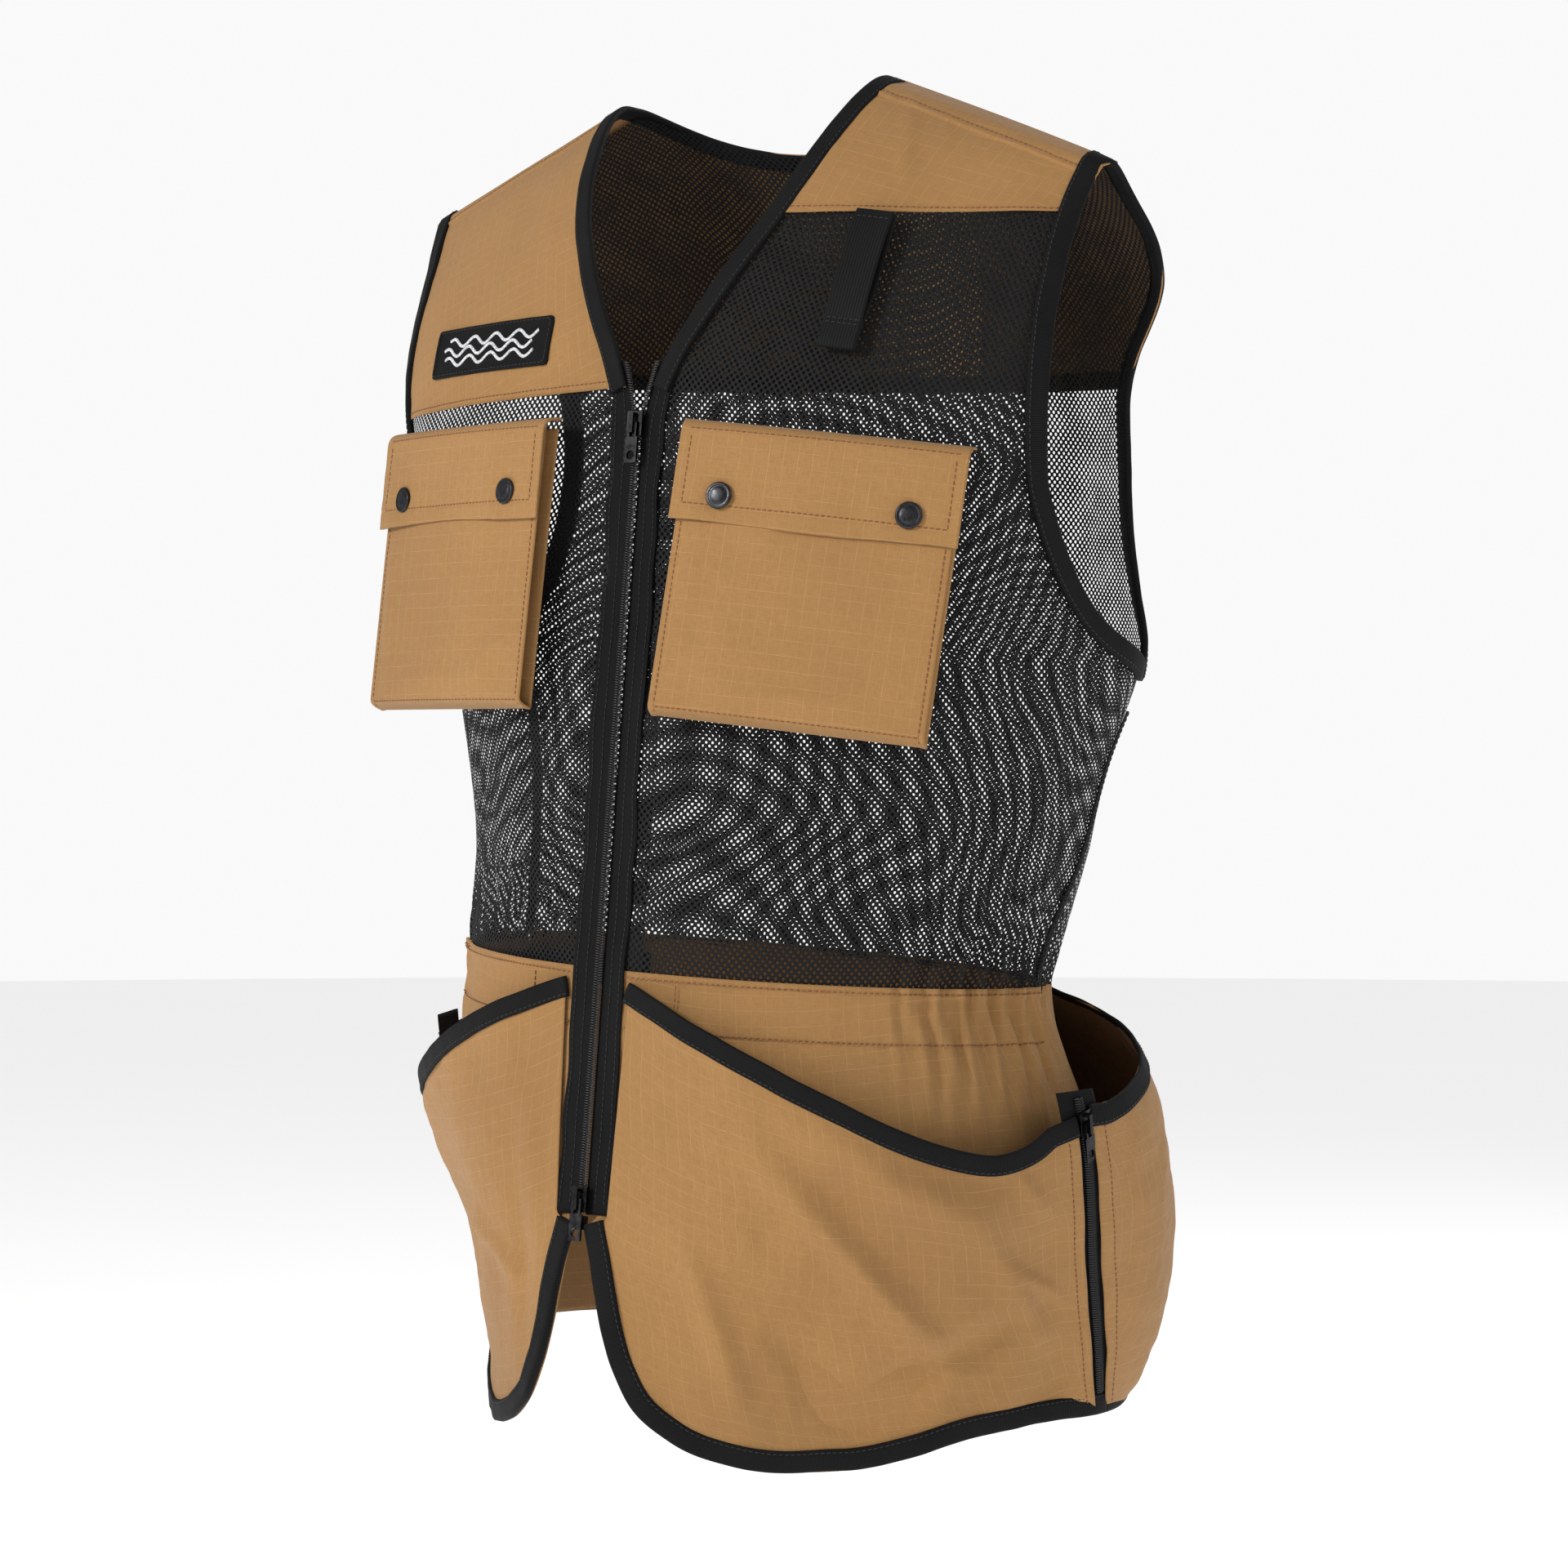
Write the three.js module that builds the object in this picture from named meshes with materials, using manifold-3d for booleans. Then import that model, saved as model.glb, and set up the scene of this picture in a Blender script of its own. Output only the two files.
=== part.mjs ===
// Sleeveless mesh field vest with cloth yokes, bellows chest pockets, hand pockets and a back pouch.
// Millimetres, +Z up. The wearer faces -Y and the wearer's left is +X.
// The origin is midway between the two high shoulder points.
import * as THREE from 'three';
import { mergeVertices } from 'three/addons/utils/BufferGeometryUtils.js';
import Module from 'manifold-3d';

const wasm = await Module();
wasm.setup();

// ---------- driving dimensions ----------
const seam = 0.3;                 // gap between neighbouring pieces
const cloth = 1.2;                // thickness of mesh and ripstop cloth
const binding = { width: 10.5, thickness: 3, hemThickness: 4.6 };

const neckHalfWidth = 85;
const shoulderHalfWidth = 219;
const shoulderSlope = 0.4;
const shoulderDepth = { front: 180, back: 160 };
const shoulderRound = { front: 1.7, back: 1.9 };
const backNeckDrop = 22;

const level = {
  zipTop: -165,
  backYoke: -150,
  underarm: -294,
  waist: -466,
  zipBottom: -590,
  sideZipTop: -524,
  hem: -687,
  frontHem: -711,
};

// Lower edge of each front yoke: its height at the middle and its fall per mm towards the arm.
const frontYokeEdge = { left: { z: -73, fall: 0.01 }, right: { z: -162, fall: 0.08 } };

// The vest hangs lower on the wearer's left, by this much per mm, below the yokes.
const hang = { slope: 0.065, from: -10, to: -190 };

// Cross-sections of the body cloth from the shoulders to the hem.
const sections = [
  { z: 0, halfWidth: 232, back: 95, middle: 10, frontPower: 2.3, backPower: 2.3 },
  { z: -100, halfWidth: 228, back: 104, middle: 13, frontPower: 2.3, backPower: 2.3 },
  { z: -208, halfWidth: 217, back: 114, middle: 17, frontPower: 2.25, backPower: 2.3 },
  { z: level.underarm, halfWidth: 203, back: 124, middle: 20, frontPower: 2.0, backPower: 2.2 },
  { z: -390, halfWidth: 184, back: 132, middle: 22, frontPower: 1.85, backPower: 2.1 },
  { z: level.waist, halfWidth: 168, back: 108, middle: 8, frontPower: 1.95, backPower: 2.1 },
  { z: -540, halfWidth: 184, back: 126, middle: 16, frontPower: 1.8, backPower: 2.2 },
  { z: -615, halfWidth: 185, back: 150, middle: 34, frontPower: 1.55, backPower: 2.2 },
  { z: -720, halfWidth: 183, back: 172, middle: 50, frontPower: 1.4, backPower: 2.2 },
];

// The closed front zip is one straight line that leans forward as it goes down.
const frontZip = { y: -104, lean: 0.118, coilHalf: 2.6, slot: 1.2, tape: 13, coilUp: 1.6, coilDown: 1.2 };
const sideZipHalf = 12.5;
const tapeThickness = 1.4;
const slider = { width: 9.6, length: 13, plate: 1.4, web: 0.6, bridgeWidth: 2.4 };
const pull = { length: 21, width: 7.5, thickness: 1.4, arm: 1.3, bar: 1.4, eye: 2.4 };

const armhole = {
  front: [[-52, 79], [-92, 75.5], [-151, 73], [-208, 75], [-250, 81], [-276, 88], [level.underarm, 99]],
  back: [[-52, 100], [-102, 105], [-141, 107], [-174, 107], [-217, 106], [-258, 103], [level.underarm, 99]],
  flare: { out: 12, angle: 99, spread: 14, z: level.underarm, height: 40 },
  backWing: { out: 26, angle: 106, spread: 14, z: -98, height: 36 },
  frontWing: { out: 9, angle: 73, spread: 13, z: -155, height: 60 },
};

const neck = [[0, neckHalfWidth], [-45, 70], [-76, 57], [-114, 36], [-143, 19], [level.zipTop, 9.5]];

// Front slit and rounded corner as [x, z], then the hem as [angle, z].
const slit = [[4, -594.5], [9, -612], [16, -645], [24, -669], [37, -689], [57, -703], [84, level.frontHem]];
const frontHem = [[41, -710.5], [52, -704], [66, -693], [79, -688], [92, level.hem]];

// Slanted pocket openings as [angle, z].
const pocketMouth = [[7.9, -471.5], [10.5, -474], [22, -488], [36, -507], [50, -527], [60, -539], [69, -545],
  [75, -541], [79, -533]];
const pouchMouth = [[88.4, -527], [95, -521], [104, -509], [112, -491], [120, -477], [129, -470], [140, -467]];
const bulge = [[0, 0], [9, 0], [25, 9], [55, 19], [84, 27], [105, 37], [125, 38], [150, 30], [180, 34]];

const skirtGap = 1;               // least space between the skirt and what lies over it

const pocket = {
  x: 113, top: -190.5, width: 146, height: 149, depth: 12, bend: 4, wall: 1.4,
  turn: 17.7, lean: 6.5, fall: 0.056, mouth: 7,
};
const flap = { width: 152, height: 50, gap: 3.4 };
const snap = { across: 50, down: 36, cap: 7, capHeight: 2, socket: 5.6, stud: 5.6, post: 2.1, hole: 2.6 };
const loop = { top: [119, -80], end: [112, -158], length: 78, width: 21, thickness: 8, strap: 1.6, lift: 3.2, turn: 14 };
const patchPlace = { outer: -170, inner: -64, bottom: -151, top: -122, thickness: 1.6 };

const degree = Math.PI / 180;

// ---------- interpolation ----------
// Smooth value through [key, value] pairs, with the end slopes taken from the end pairs.
function through(pairs, key) {
  const rising = pairs[1][0] > pairs[0][0];
  const list = rising ? pairs : [...pairs].reverse();
  const last = list.length - 1;
  if (key <= list[0][0]) return list[0][1];
  if (key >= list[last][0]) return list[last][1];
  let i = 0;
  while (key > list[i + 1][0]) i += 1;
  const slope = (j) => {
    const a = list[Math.max(j - 1, 0)];
    const b = list[Math.min(j + 1, last)];
    return (b[1] - a[1]) / (b[0] - a[0]);
  };
  const span = list[i + 1][0] - list[i][0];
  const t = (key - list[i][0]) / span;
  const t2 = t * t;
  const t3 = t2 * t;
  return (2 * t3 - 3 * t2 + 1) * list[i][1] + (t3 - 2 * t2 + t) * span * slope(i)
    + (3 * t2 - 2 * t3) * list[i + 1][1] + (t3 - t2) * span * slope(i + 1);
}

function sectionValue(name, z) {
  return through(sections.map((row) => [row.z, row[name]]), z);
}

function smoothStep(low, high, value) {
  const t = Math.min(Math.max((value - low) / (high - low), 0), 1);
  return t * t * (3 - 2 * t);
}

function bump(patch, angle, z) {
  const across = (angle - patch.angle) / patch.spread;
  const along = (z - patch.z) / patch.height;
  return patch.out * Math.exp(-across * across - along * along);
}

// ---------- body surface ----------
function frontLine(z) {
  return frontZip.y + frontZip.lean * (z - level.zipTop);
}

function ridge(x) {
  return -shoulderSlope * (Math.abs(x) - neckHalfWidth);
}

// How far the cloth has closed onto the shoulder ridge: 0 on it, 1 well below it.
function closing(x, z, side) {
  const below = Math.min(Math.max((ridge(x) - z) / shoulderDepth[side], 0), 1);
  const power = shoulderRound[side];
  return Math.pow(1 - Math.pow(1 - below, power), 1 / power);
}

// Point of the body cloth at an angle in degrees from the front, positive to the wearer's left.
function bodyPoint(angle, z) {
  const side = Math.abs(angle) <= 90 ? 'front' : 'back';
  const middle = sectionValue('middle', z);
  const halfWidth = sectionValue('halfWidth', z);
  const depth = side === 'front' ? middle - frontLine(z) : sectionValue('back', z) - middle;
  const power = sectionValue(side === 'front' ? 'frontPower' : 'backPower', z);
  const c = Math.cos(angle * degree);
  const s = Math.sin(angle * degree);
  let r = Math.pow(Math.pow(Math.abs(c) / depth, power) + Math.pow(Math.abs(s) / halfWidth, power), -1 / power);
  r += [armhole.flare, armhole.backWing, armhole.frontWing]
    .reduce((sum, patch) => sum + bump(patch, Math.abs(angle), z), 0);
  const x = r * s;
  const y = (middle - r * c) * closing(x, z, side);
  return new THREE.Vector3(x, y, z);
}

function angleAtX(x, z) {
  const middle = sectionValue('middle', z);
  const power = sectionValue('frontPower', z);
  const share = Math.pow(Math.abs(x) / sectionValue('halfWidth', z), power);
  const reach = (middle - frontLine(z)) * Math.pow(1 - share, 1 / power);
  return Math.sign(x) * Math.atan2(Math.abs(x), reach) / degree;
}

function backAngleAtX(x, z) {
  const middle = sectionValue('middle', z);
  const power = sectionValue('backPower', z);
  const share = Math.pow(Math.abs(x) / sectionValue('halfWidth', z), power);
  const reach = (sectionValue('back', z) - middle) * Math.pow(1 - share, 1 / power);
  return 180 - Math.atan2(Math.abs(x), reach) / degree;
}

// Outward offset of the hand pockets and the pouch from the skirt cloth.
function beltLift(angle, z) {
  const side = Math.abs(angle);
  const up = Math.min(Math.max((z - level.hem) / (level.waist - level.hem), 0), 1);
  const straight = Math.pow(up / 0.7, 1.2);
  const bag = 1 - Math.pow(Math.abs(2 * up - 1), up > 0.5 ? 5 : 1.7);
  const mix = smoothStep(78, 112, side);
  return cloth + skirtGap + through(bulge, side) * ((1 - mix) * straight + mix * bag);
}

function hung(p) {
  p.z -= hang.slope * (1 - smoothStep(hang.to, hang.from, p.z)) * p.x;
  return p;
}

function hungCloth(geometry) {
  const position = geometry.attributes.position;
  for (let i = 0; i < position.count; i += 1) {
    const p = hung(new THREE.Vector3().fromBufferAttribute(position, i));
    position.setXYZ(i, p.x, p.y, p.z);
  }
  return geometry;
}

function normalOf(point, u, v) {
  const step = 0.004;
  const alongU = point(Math.min(u + step, 1), v).sub(point(Math.max(u - step, 0), v));
  const alongV = point(u, Math.min(v + step, 1)).sub(point(u, Math.max(v - step, 0)));
  return alongU.cross(alongV).normalize();
}

function lifted(angle, z, lift) {
  const tiny = 0.05;
  const alongAngle = bodyPoint(angle + tiny, z).sub(bodyPoint(angle - tiny, z));
  const alongZ = bodyPoint(angle, z + tiny).sub(bodyPoint(angle, z - tiny));
  return bodyPoint(angle, z).addScaledVector(alongAngle.cross(alongZ).normalize(), lift);
}

function beltPoint(angle, z) {
  return lifted(angle, z, beltLift(angle, z));
}

// ---------- solid builders ----------
function solid(points, faces) {
  const geometry = new THREE.BufferGeometry();
  const volume = faces.reduce((sum, [a, b, c]) => sum + points[a].dot(points[b].clone().cross(points[c])), 0);
  const turned = volume < 0 ? faces.map(([a, b, c]) => [a, c, b]) : faces;
  geometry.setAttribute('position', new THREE.Float32BufferAttribute(points.flatMap((p) => [p.x, p.y, p.z]), 3));
  geometry.setIndex(turned.flat());
  return geometry;
}

// Closed solid between an outer and an inner face, each a function of (u, v).
function between(outer, inner, columns, rows) {
  const points = [];
  for (const face of [outer, inner]) {
    for (let j = 0; j <= rows; j += 1) {
      for (let i = 0; i <= columns; i += 1) points.push(face(i / columns, j / rows));
    }
  }
  const row = columns + 1;
  const layer = row * (rows + 1);
  const faces = [];
  for (let j = 0; j < rows; j += 1) {
    for (let i = 0; i < columns; i += 1) {
      const a = j * row + i;
      faces.push([a, a + 1, a + row + 1], [a, a + row + 1, a + row]);
      faces.push([layer + a, layer + a + row + 1, layer + a + 1], [layer + a, layer + a + row, layer + a + row + 1]);
    }
  }
  const rim = [];
  for (let i = 0; i < columns; i += 1) rim.push(i);
  for (let j = 0; j < rows; j += 1) rim.push(j * row + columns);
  for (let i = columns; i > 0; i -= 1) rim.push(rows * row + i);
  for (let j = rows; j > 0; j -= 1) rim.push(j * row);
  rim.forEach((a, k) => {
    const b = rim[(k + 1) % rim.length];
    faces.push([b, a, layer + a], [b, layer + a, layer + b]);
  });
  return solid(points, faces);
}

// Closed cloth sheet whose outer face is point(u, v).
function sheet(point, columns, rows, thickness = cloth) {
  const inner = (u, v) => point(u, v).addScaledVector(normalOf(point, u, v), -thickness);
  return between(point, inner, columns, rows);
}

// Closed solid through a row of rings that all have the same number of points.
function loft(rings) {
  const points = rings.flat();
  const size = rings[0].length;
  const faces = [];
  for (let k = 0; k < rings.length - 1; k += 1) {
    for (let i = 0; i < size; i += 1) {
      const a = k * size + i;
      const b = k * size + (i + 1) % size;
      faces.push([a, b, b + size], [a, b + size, a + size]);
    }
  }
  const end = (rings.length - 1) * size;
  for (let i = 1; i < size - 1; i += 1) {
    faces.push([0, i + 1, i]);
    faces.push([end, end + i, end + i + 1]);
  }
  return solid(points, faces);
}

// Binding tape along an edge; the tape lies to the left of the direction of travel, seen from outside.
function ribbon(places, surface, width, lift, thickness) {
  const frames = places.map(([angle, z]) => {
    const tiny = 0.02;
    const alongAngle = surface(angle + tiny, z).sub(surface(angle - tiny, z));
    const alongZ = surface(angle, z + tiny).sub(surface(angle, z - tiny));
    return { at: surface(angle, z), out: alongAngle.cross(alongZ).normalize() };
  });
  const rings = frames.map((frame, k) => {
    const next = frames[Math.min(k + 1, frames.length - 1)].at;
    const last = frames[Math.max(k - 1, 0)].at;
    const travel = next.clone().sub(last);
    const out = frame.out;
    const inward = out.clone().cross(travel).normalize();
    const corner = (across, up) => frame.at.clone().addScaledVector(inward, across).addScaledVector(out, up);
    return [corner(0, lift), corner(width, lift), corner(width, lift - thickness), corner(0, lift - thickness)];
  });
  return loft(rings);
}

// The same edge moved into the cloth by a distance, as [angle, z] places.
function inset(places, surface, distance) {
  return places.map(([angle, z], k) => {
    const tiny = 0.02;
    const next = places[Math.min(k + 1, places.length - 1)];
    const last = places[Math.max(k - 1, 0)];
    const travel = surface(...next).sub(surface(...last));
    const alongAngle = surface(angle + tiny, z).sub(surface(angle - tiny, z)).divideScalar(2 * tiny);
    const alongZ = surface(angle, z + tiny).sub(surface(angle, z - tiny)).divideScalar(2 * tiny);
    const out = alongAngle.clone().cross(alongZ).normalize();
    const move = out.cross(travel).setLength(distance);
    const aa = alongAngle.dot(alongAngle);
    const az = alongAngle.dot(alongZ);
    const zz = alongZ.dot(alongZ);
    const size = aa * zz - az * az;
    const alongA = alongAngle.dot(move);
    const alongZz = alongZ.dot(move);
    return [angle + (alongA * zz - alongZz * az) / size, z + (alongZz * aa - alongA * az) / size];
  });
}

function manifoldOf(geometry) {
  const bare = geometry.clone();
  bare.deleteAttribute('normal');
  bare.deleteAttribute('uv');
  const merged = mergeVertices(bare, 1e-4);
  return new wasm.Manifold(new wasm.Mesh({
    numProp: 3,
    vertProperties: new Float32Array(merged.attributes.position.array),
    triVerts: new Uint32Array(merged.index.array),
  }));
}

function geometryOf(manifold) {
  const mesh = manifold.getMesh();
  const geometry = new THREE.BufferGeometry();
  geometry.setAttribute('position', new THREE.BufferAttribute(new Float32Array(mesh.vertProperties), 3));
  geometry.setIndex(new THREE.BufferAttribute(new Uint32Array(mesh.triVerts), 1));
  return geometry;
}

function joined(...geometries) {
  return geometryOf(geometries.map(manifoldOf).reduce((sum, next) => sum.add(next)));
}

function cut(geometry, ...tools) {
  return geometryOf(tools.map(manifoldOf).reduce((rest, tool) => rest.subtract(tool), manifoldOf(geometry)));
}

function block(width, height, depth, x = 0, y = 0, z = 0) {
  return new THREE.BoxGeometry(width, height, depth).translate(x, y, z);
}

// ---------- finishes ----------
const finish = {
  mesh: { color: 0x16161a, roughness: 0.85, metalness: 0 },
  ripstop: { color: 0x9b7238, roughness: 0.8, metalness: 0 },
  tape: { color: 0x0f0f11, roughness: 0.75, metalness: 0 },
  coil: { color: 0x0b0b0c, roughness: 0.45, metalness: 0 },
  metal: { color: 0x2b2d31, roughness: 0.3, metalness: 0.9 },
  elastic: { color: 0x1b1b1b, roughness: 0.9, metalness: 0 },
};

const vest = new THREE.Group();

function addCloth(name, geometry, look) {
  return add(name, hungCloth(geometry), look);
}

function add(name, geometry, look, parent = vest) {
  const mesh = new THREE.Mesh(geometry, new THREE.MeshStandardMaterial(finish[look]));
  mesh.name = name;
  parent.add(mesh);
  return mesh;
}

const sides = [{ name: 'left', sign: 1 }, { name: 'right', sign: -1 }];

// The same point function on the other side of the body, still facing out.
function onSide(point, sign) {
  return (u, v) => {
    const p = point(sign > 0 ? u : 1 - u, v);
    p.x *= sign;
    return p;
  };
}

function mirrored(geometry, sign) {
  if (sign > 0) return geometry;
  const flipped = geometry.index ? geometry.clone() : mergeVertices(geometry);
  flipped.scale(-1, 1, 1);
  const index = flipped.index.array;
  for (let i = 0; i < index.length; i += 3) {
    [index[i + 1], index[i + 2]] = [index[i + 2], index[i + 1]];
  }
  return flipped;
}

function spaced(low, high, count, ease = (t) => t) {
  return Array.from({ length: count + 1 }, (_, i) => low + (high - low) * ease(i / count));
}

// ---------- garment edges on the wearer's left ----------
const onBody = (angle, z) => bodyPoint(angle, z);
const tip = -shoulderSlope * (shoulderHalfWidth - neckHalfWidth);
const nearRidge = 0.4;            // how close an edge's samples come to the shoulder ridge

const armholeFront = spaced(tip - nearRidge, level.underarm + 2, 15, (t) => 0.25 * t * t + 0.75 * t)
  .map((z) => [through(armhole.front, z), z]).reverse();
const armholeBack = spaced(tip - nearRidge, level.underarm + 2, 15, (t) => 0.25 * t * t + 0.75 * t)
  .map((z) => [through(armhole.back, z), z]);
const armholeEdge = [...armholeFront, ...armholeBack];

const neckLeft = spaced(-nearRidge, level.zipTop, 11, (t) => 0.4 * t * t + 0.6 * t)
  .map((z) => [angleAtX(through(neck, z), z), z]);
const backNeck = spaced(-1, 1, 12).map((share) => {
  const x = -share * (neckHalfWidth - 1.2);
  const z = -backNeckDrop * (1 - Math.pow(Math.abs(share), 2.6)) - nearRidge - 0.6;
  const angle = backAngleAtX(x, z);
  return [x > 0 ? angle : 360 - angle, z];
}).reverse();
const neckRight = neckLeft.map(([angle, z]) => [-angle, z]).reverse();
const neckEdge = [...neckRight, ...backNeck, ...neckLeft];

const panelInset = binding.width + 3 * seam;
const mouthInset = panelInset + 1.5;      // a little more where the edge curves strongly
const ridgeSlope = Math.atan(shoulderSlope);
const ridgeGap = 0.05;            // how far below the ridge each yoke stops
const neckTop = neckHalfWidth + panelInset * Math.cos(ridgeSlope);
const armTop = shoulderHalfWidth - mouthInset * Math.cos(ridgeSlope);

// Edge tables: place across the body for a height, as [z, x] or [z, angle].
const steady = ([, z], margin) => z < margin;
const edgeX = (places, top, margin) => [[ridge(top), top],
  ...places.filter((place) => steady(place, ridge(top) - margin)).map(([angle, z]) => [z, bodyPoint(angle, z).x])];
const neckPanelX = edgeX(inset(neckLeft, onBody, panelInset), neckTop, 6);
const armFront = inset(armholeFront, onBody, panelInset).reverse().filter(([, z]) => z > level.underarm - 5);
const armBack = inset(armholeBack, onBody, panelInset).filter(([, z]) => z > level.underarm - 5);
const armFrontX = edgeX(armFront, armTop, 10);
const armBackX = edgeX(armBack, armTop, 10);
const angleTable = (places) => places.filter((place) => steady(place, tip - 10)).map(([angle, z]) => [z, angle]);
const underarmLow = level.underarm - 1.7 * binding.width;
const waistSeamAngle = 92;
const sideSeam = spaced(0, 1, 8).map((t) => [underarmLow + (level.waist - underarmLow) * t,
  armhole.flare.angle + (waistSeamAngle - armhole.flare.angle) * t]);

// ---------- patches ----------
const mmPerDegree = 3.4;

// Place along a row of places, t from 0 to 1 by length.
function route(places) {
  const lengths = [0];
  for (let i = 1; i < places.length; i += 1) {
    const [a, b] = [places[i - 1], places[i]];
    lengths.push(lengths[i - 1] + Math.hypot((b[0] - a[0]) * mmPerDegree, b[1] - a[1]));
  }
  const total = lengths[lengths.length - 1];
  return (t) => {
    const want = Math.min(Math.max(t, 0), 1) * total;
    let i = 0;
    while (i < lengths.length - 2 && want > lengths[i + 1]) i += 1;
    const share = (want - lengths[i]) / (lengths[i + 1] - lengths[i]);
    return [0, 1].map((k) => places[i][k] + (places[i + 1][k] - places[i][k]) * share);
  };
}

// Blends four edges into a patch; left and right run upwards, bottom and top run from left to right.
function patch(left, right, bottom, top) {
  return (u, v) => [0, 1].map((k) => (1 - u) * left(v)[k] + u * right(v)[k]
    + (1 - v) * bottom(u)[k] + v * top(u)[k]
    - (1 - u) * (1 - v) * left(0)[k] - u * (1 - v) * right(0)[k]
    - (1 - u) * v * left(1)[k] - u * v * right(1)[k]);
}

function clothPatch(left, right, bottom, top, surface) {
  const places = patch(left, right, bottom ?? route([left(0), right(0)]), top ?? route([left(1), right(1)]));
  return (u, v) => surface(...places(u, v));
}

function smoothPlaces(places, count) {
  const curve = new THREE.SplineCurve(places.map(([angle, z]) => new THREE.Vector2(angle * mmPerDegree, z)));
  return curve.getSpacedPoints(count).map((p) => [p.x / mmPerDegree, p.y]);
}

// ---------- upper body ----------
const zipEdge = frontZip.slot / 2 + frontZip.coilHalf + seam;
const tapeEdge = zipEdge + frontZip.tape;
const panelEdge = tapeEdge + seam;
const split = 0.08;               // half the gap at a seam, in degrees

const frontEdgeX = (z) => Math.max(panelEdge, z > level.zipTop - 25 ? through(neckPanelX, z) : panelEdge);
const seamAngle = (z) => through(sideSeam, z);
const sideAngleFront = (z) => Math.min(through([...angleTable(armFront), ...sideSeam], z), seamAngle(z));
const sideAngleBack = (z) => Math.max(through([...angleTable(armBack), ...sideSeam], z), seamAngle(z));

const sheetRows = { mesh: 14, yoke: 7 };

// Point at a distance from the middle, whose angle is searched for because the wings push the cloth out.
function searched(angle, x, z, step) {
  let found = angle;
  for (let i = 0; i < 8; i += 1) {
    found += step * (x - bodyPoint(found, z).x);
  }
  return bodyPoint(found, z);
}

const frontAt = (x, z) => searched(angleAtX(x, z), x, z, 0.25);
const backAt = (x, z) => searched(backAngleAtX(x, z), x, z, -0.25);

function frontMesh(edge) {
  const armX = 205;
  const topLeft = edge.z - edge.fall * frontEdgeX(edge.z) - seam;
  const topRight = edge.z - edge.fall * armX - seam;
  const left = route(spaced(level.waist + seam / 2, topLeft, 40).map((z) => [angleAtX(frontEdgeX(z), z), z]));
  const right = route(spaced(level.waist + seam / 2, topRight, 40).map((z) => [sideAngleFront(z) - split, z]));
  return clothPatch(left, right, null, null, onBody);
}

// Front yoke, laid out by x so that its top row runs along the shoulder ridge.
function frontYoke(edge) {
  const ease = (v) => 1 - (1 - v) * (1 - v);
  const bottomLeft = edge.z - edge.fall * frontEdgeX(edge.z);
  const bottomRight = edge.z - edge.fall * armTop;
  return (u, v) => {
    const w = ease(v);
    const zl = bottomLeft + (ridge(neckTop) - bottomLeft) * w;
    const zr = bottomRight + (ridge(armTop) - bottomRight) * w;
    const xl = Math.max(panelEdge, through(neckPanelX, zl));
    const xr = through(armFrontX, zr);
    const x = xl + (xr - xl) * u;
    const z = Math.min(zl + (zr - zl) * u, ridge(x) - ridgeGap);
    return frontAt(x, z);
  };
}

function backYoke(bottom) {
  const neckDrop = backNeckDrop + panelInset + 2.2;
  const topOf = (x) => {
    const share = Math.min(Math.abs(x) / neckTop, 1);
    return Math.min(ridge(x) - ridgeGap, ridge(neckTop) - (neckDrop + ridge(neckTop)) * (1 - Math.pow(share, 2.6)));
  };
  return (u, v) => {
    const w = 1 - (1 - v) * (1 - v);
    const share = 1 - 2 * u;
    const zEdge = bottom + (ridge(armTop) - bottom) * w;
    const x = through(armBackX, zEdge) * share;
    const z = bottom + (topOf(armTop * share) - bottom) * w;
    const p = backAt(Math.abs(x), z);
    return new THREE.Vector3(x, p.y, z);
  };
}

function backMesh(top) {
  const heights = spaced(level.waist + seam / 2, top - seam, 40);
  const left = route(heights.map((z) => [sideAngleBack(z) + split, z]));
  const right = route(heights.map((z) => [360 - sideAngleBack(z) - split, z]));
  return clothPatch(left, right, null, null, onBody);
}

for (const { name, sign } of sides) {
  const edge = frontYokeEdge[name];
  addCloth(`front_mesh_${name}`, sheet(onSide(frontMesh(edge), sign), 9, sheetRows.mesh), 'mesh');
  addCloth(`front_yoke_${name}`, sheet(onSide(frontYoke(edge), sign), 7, sheetRows.yoke), 'ripstop');
  addCloth(`armhole_binding_${name}`, mirrored(ribbon(armholeEdge, onBody, binding.width, 0.9, binding.thickness), sign),
    'tape');
}
addCloth('back_mesh', sheet(backMesh(level.backYoke), 18, sheetRows.mesh), 'mesh');
addCloth('back_yoke', sheet(backYoke(level.backYoke), 18, sheetRows.yoke), 'ripstop');
addCloth('neck_binding', ribbon(neckEdge, onBody, binding.width, 0.9, binding.thickness), 'tape');

// ---------- skirt, hand pockets and pouch ----------
const hemPlaces = smoothPlaces([...slit.map(([x, z]) => [angleAtX(x, z), z]), ...frontHem], 32);
const hemInset = inset(hemPlaces, onBody, panelInset);
const corner = hemPlaces.findIndex(([, z]) => z < -690);
const slitUp = hemInset.slice(0, corner + 1).reverse();
const hemAcross = hemInset.slice(corner);
const backHem = spaced(92 + split, 268 - split, 26).map((angle) => [angle, level.hem]);
const backHemInset = level.hem + panelInset;

const sideZipLine = (() => {
  const top = beltPoint(84, level.sideZipTop);
  const bottom = beltPoint(90, backHemInset + seam);
  return { top, bottom };
})();
const clothFromZip = sideZipHalf + 3 * seam;

// Angle of the cloth edge at a distance from the side zip's centre line, at a height.
function besideZip(z, distance) {
  const share = (z - sideZipLine.top.z) / (sideZipLine.bottom.z - sideZipLine.top.z);
  const p = sideZipLine.top.clone().lerp(sideZipLine.bottom, share);
  const back = sectionValue('middle', z) - p.y;
  return (Math.atan2(p.x, back) + distance / Math.hypot(p.x, back)) / degree;
}

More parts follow.
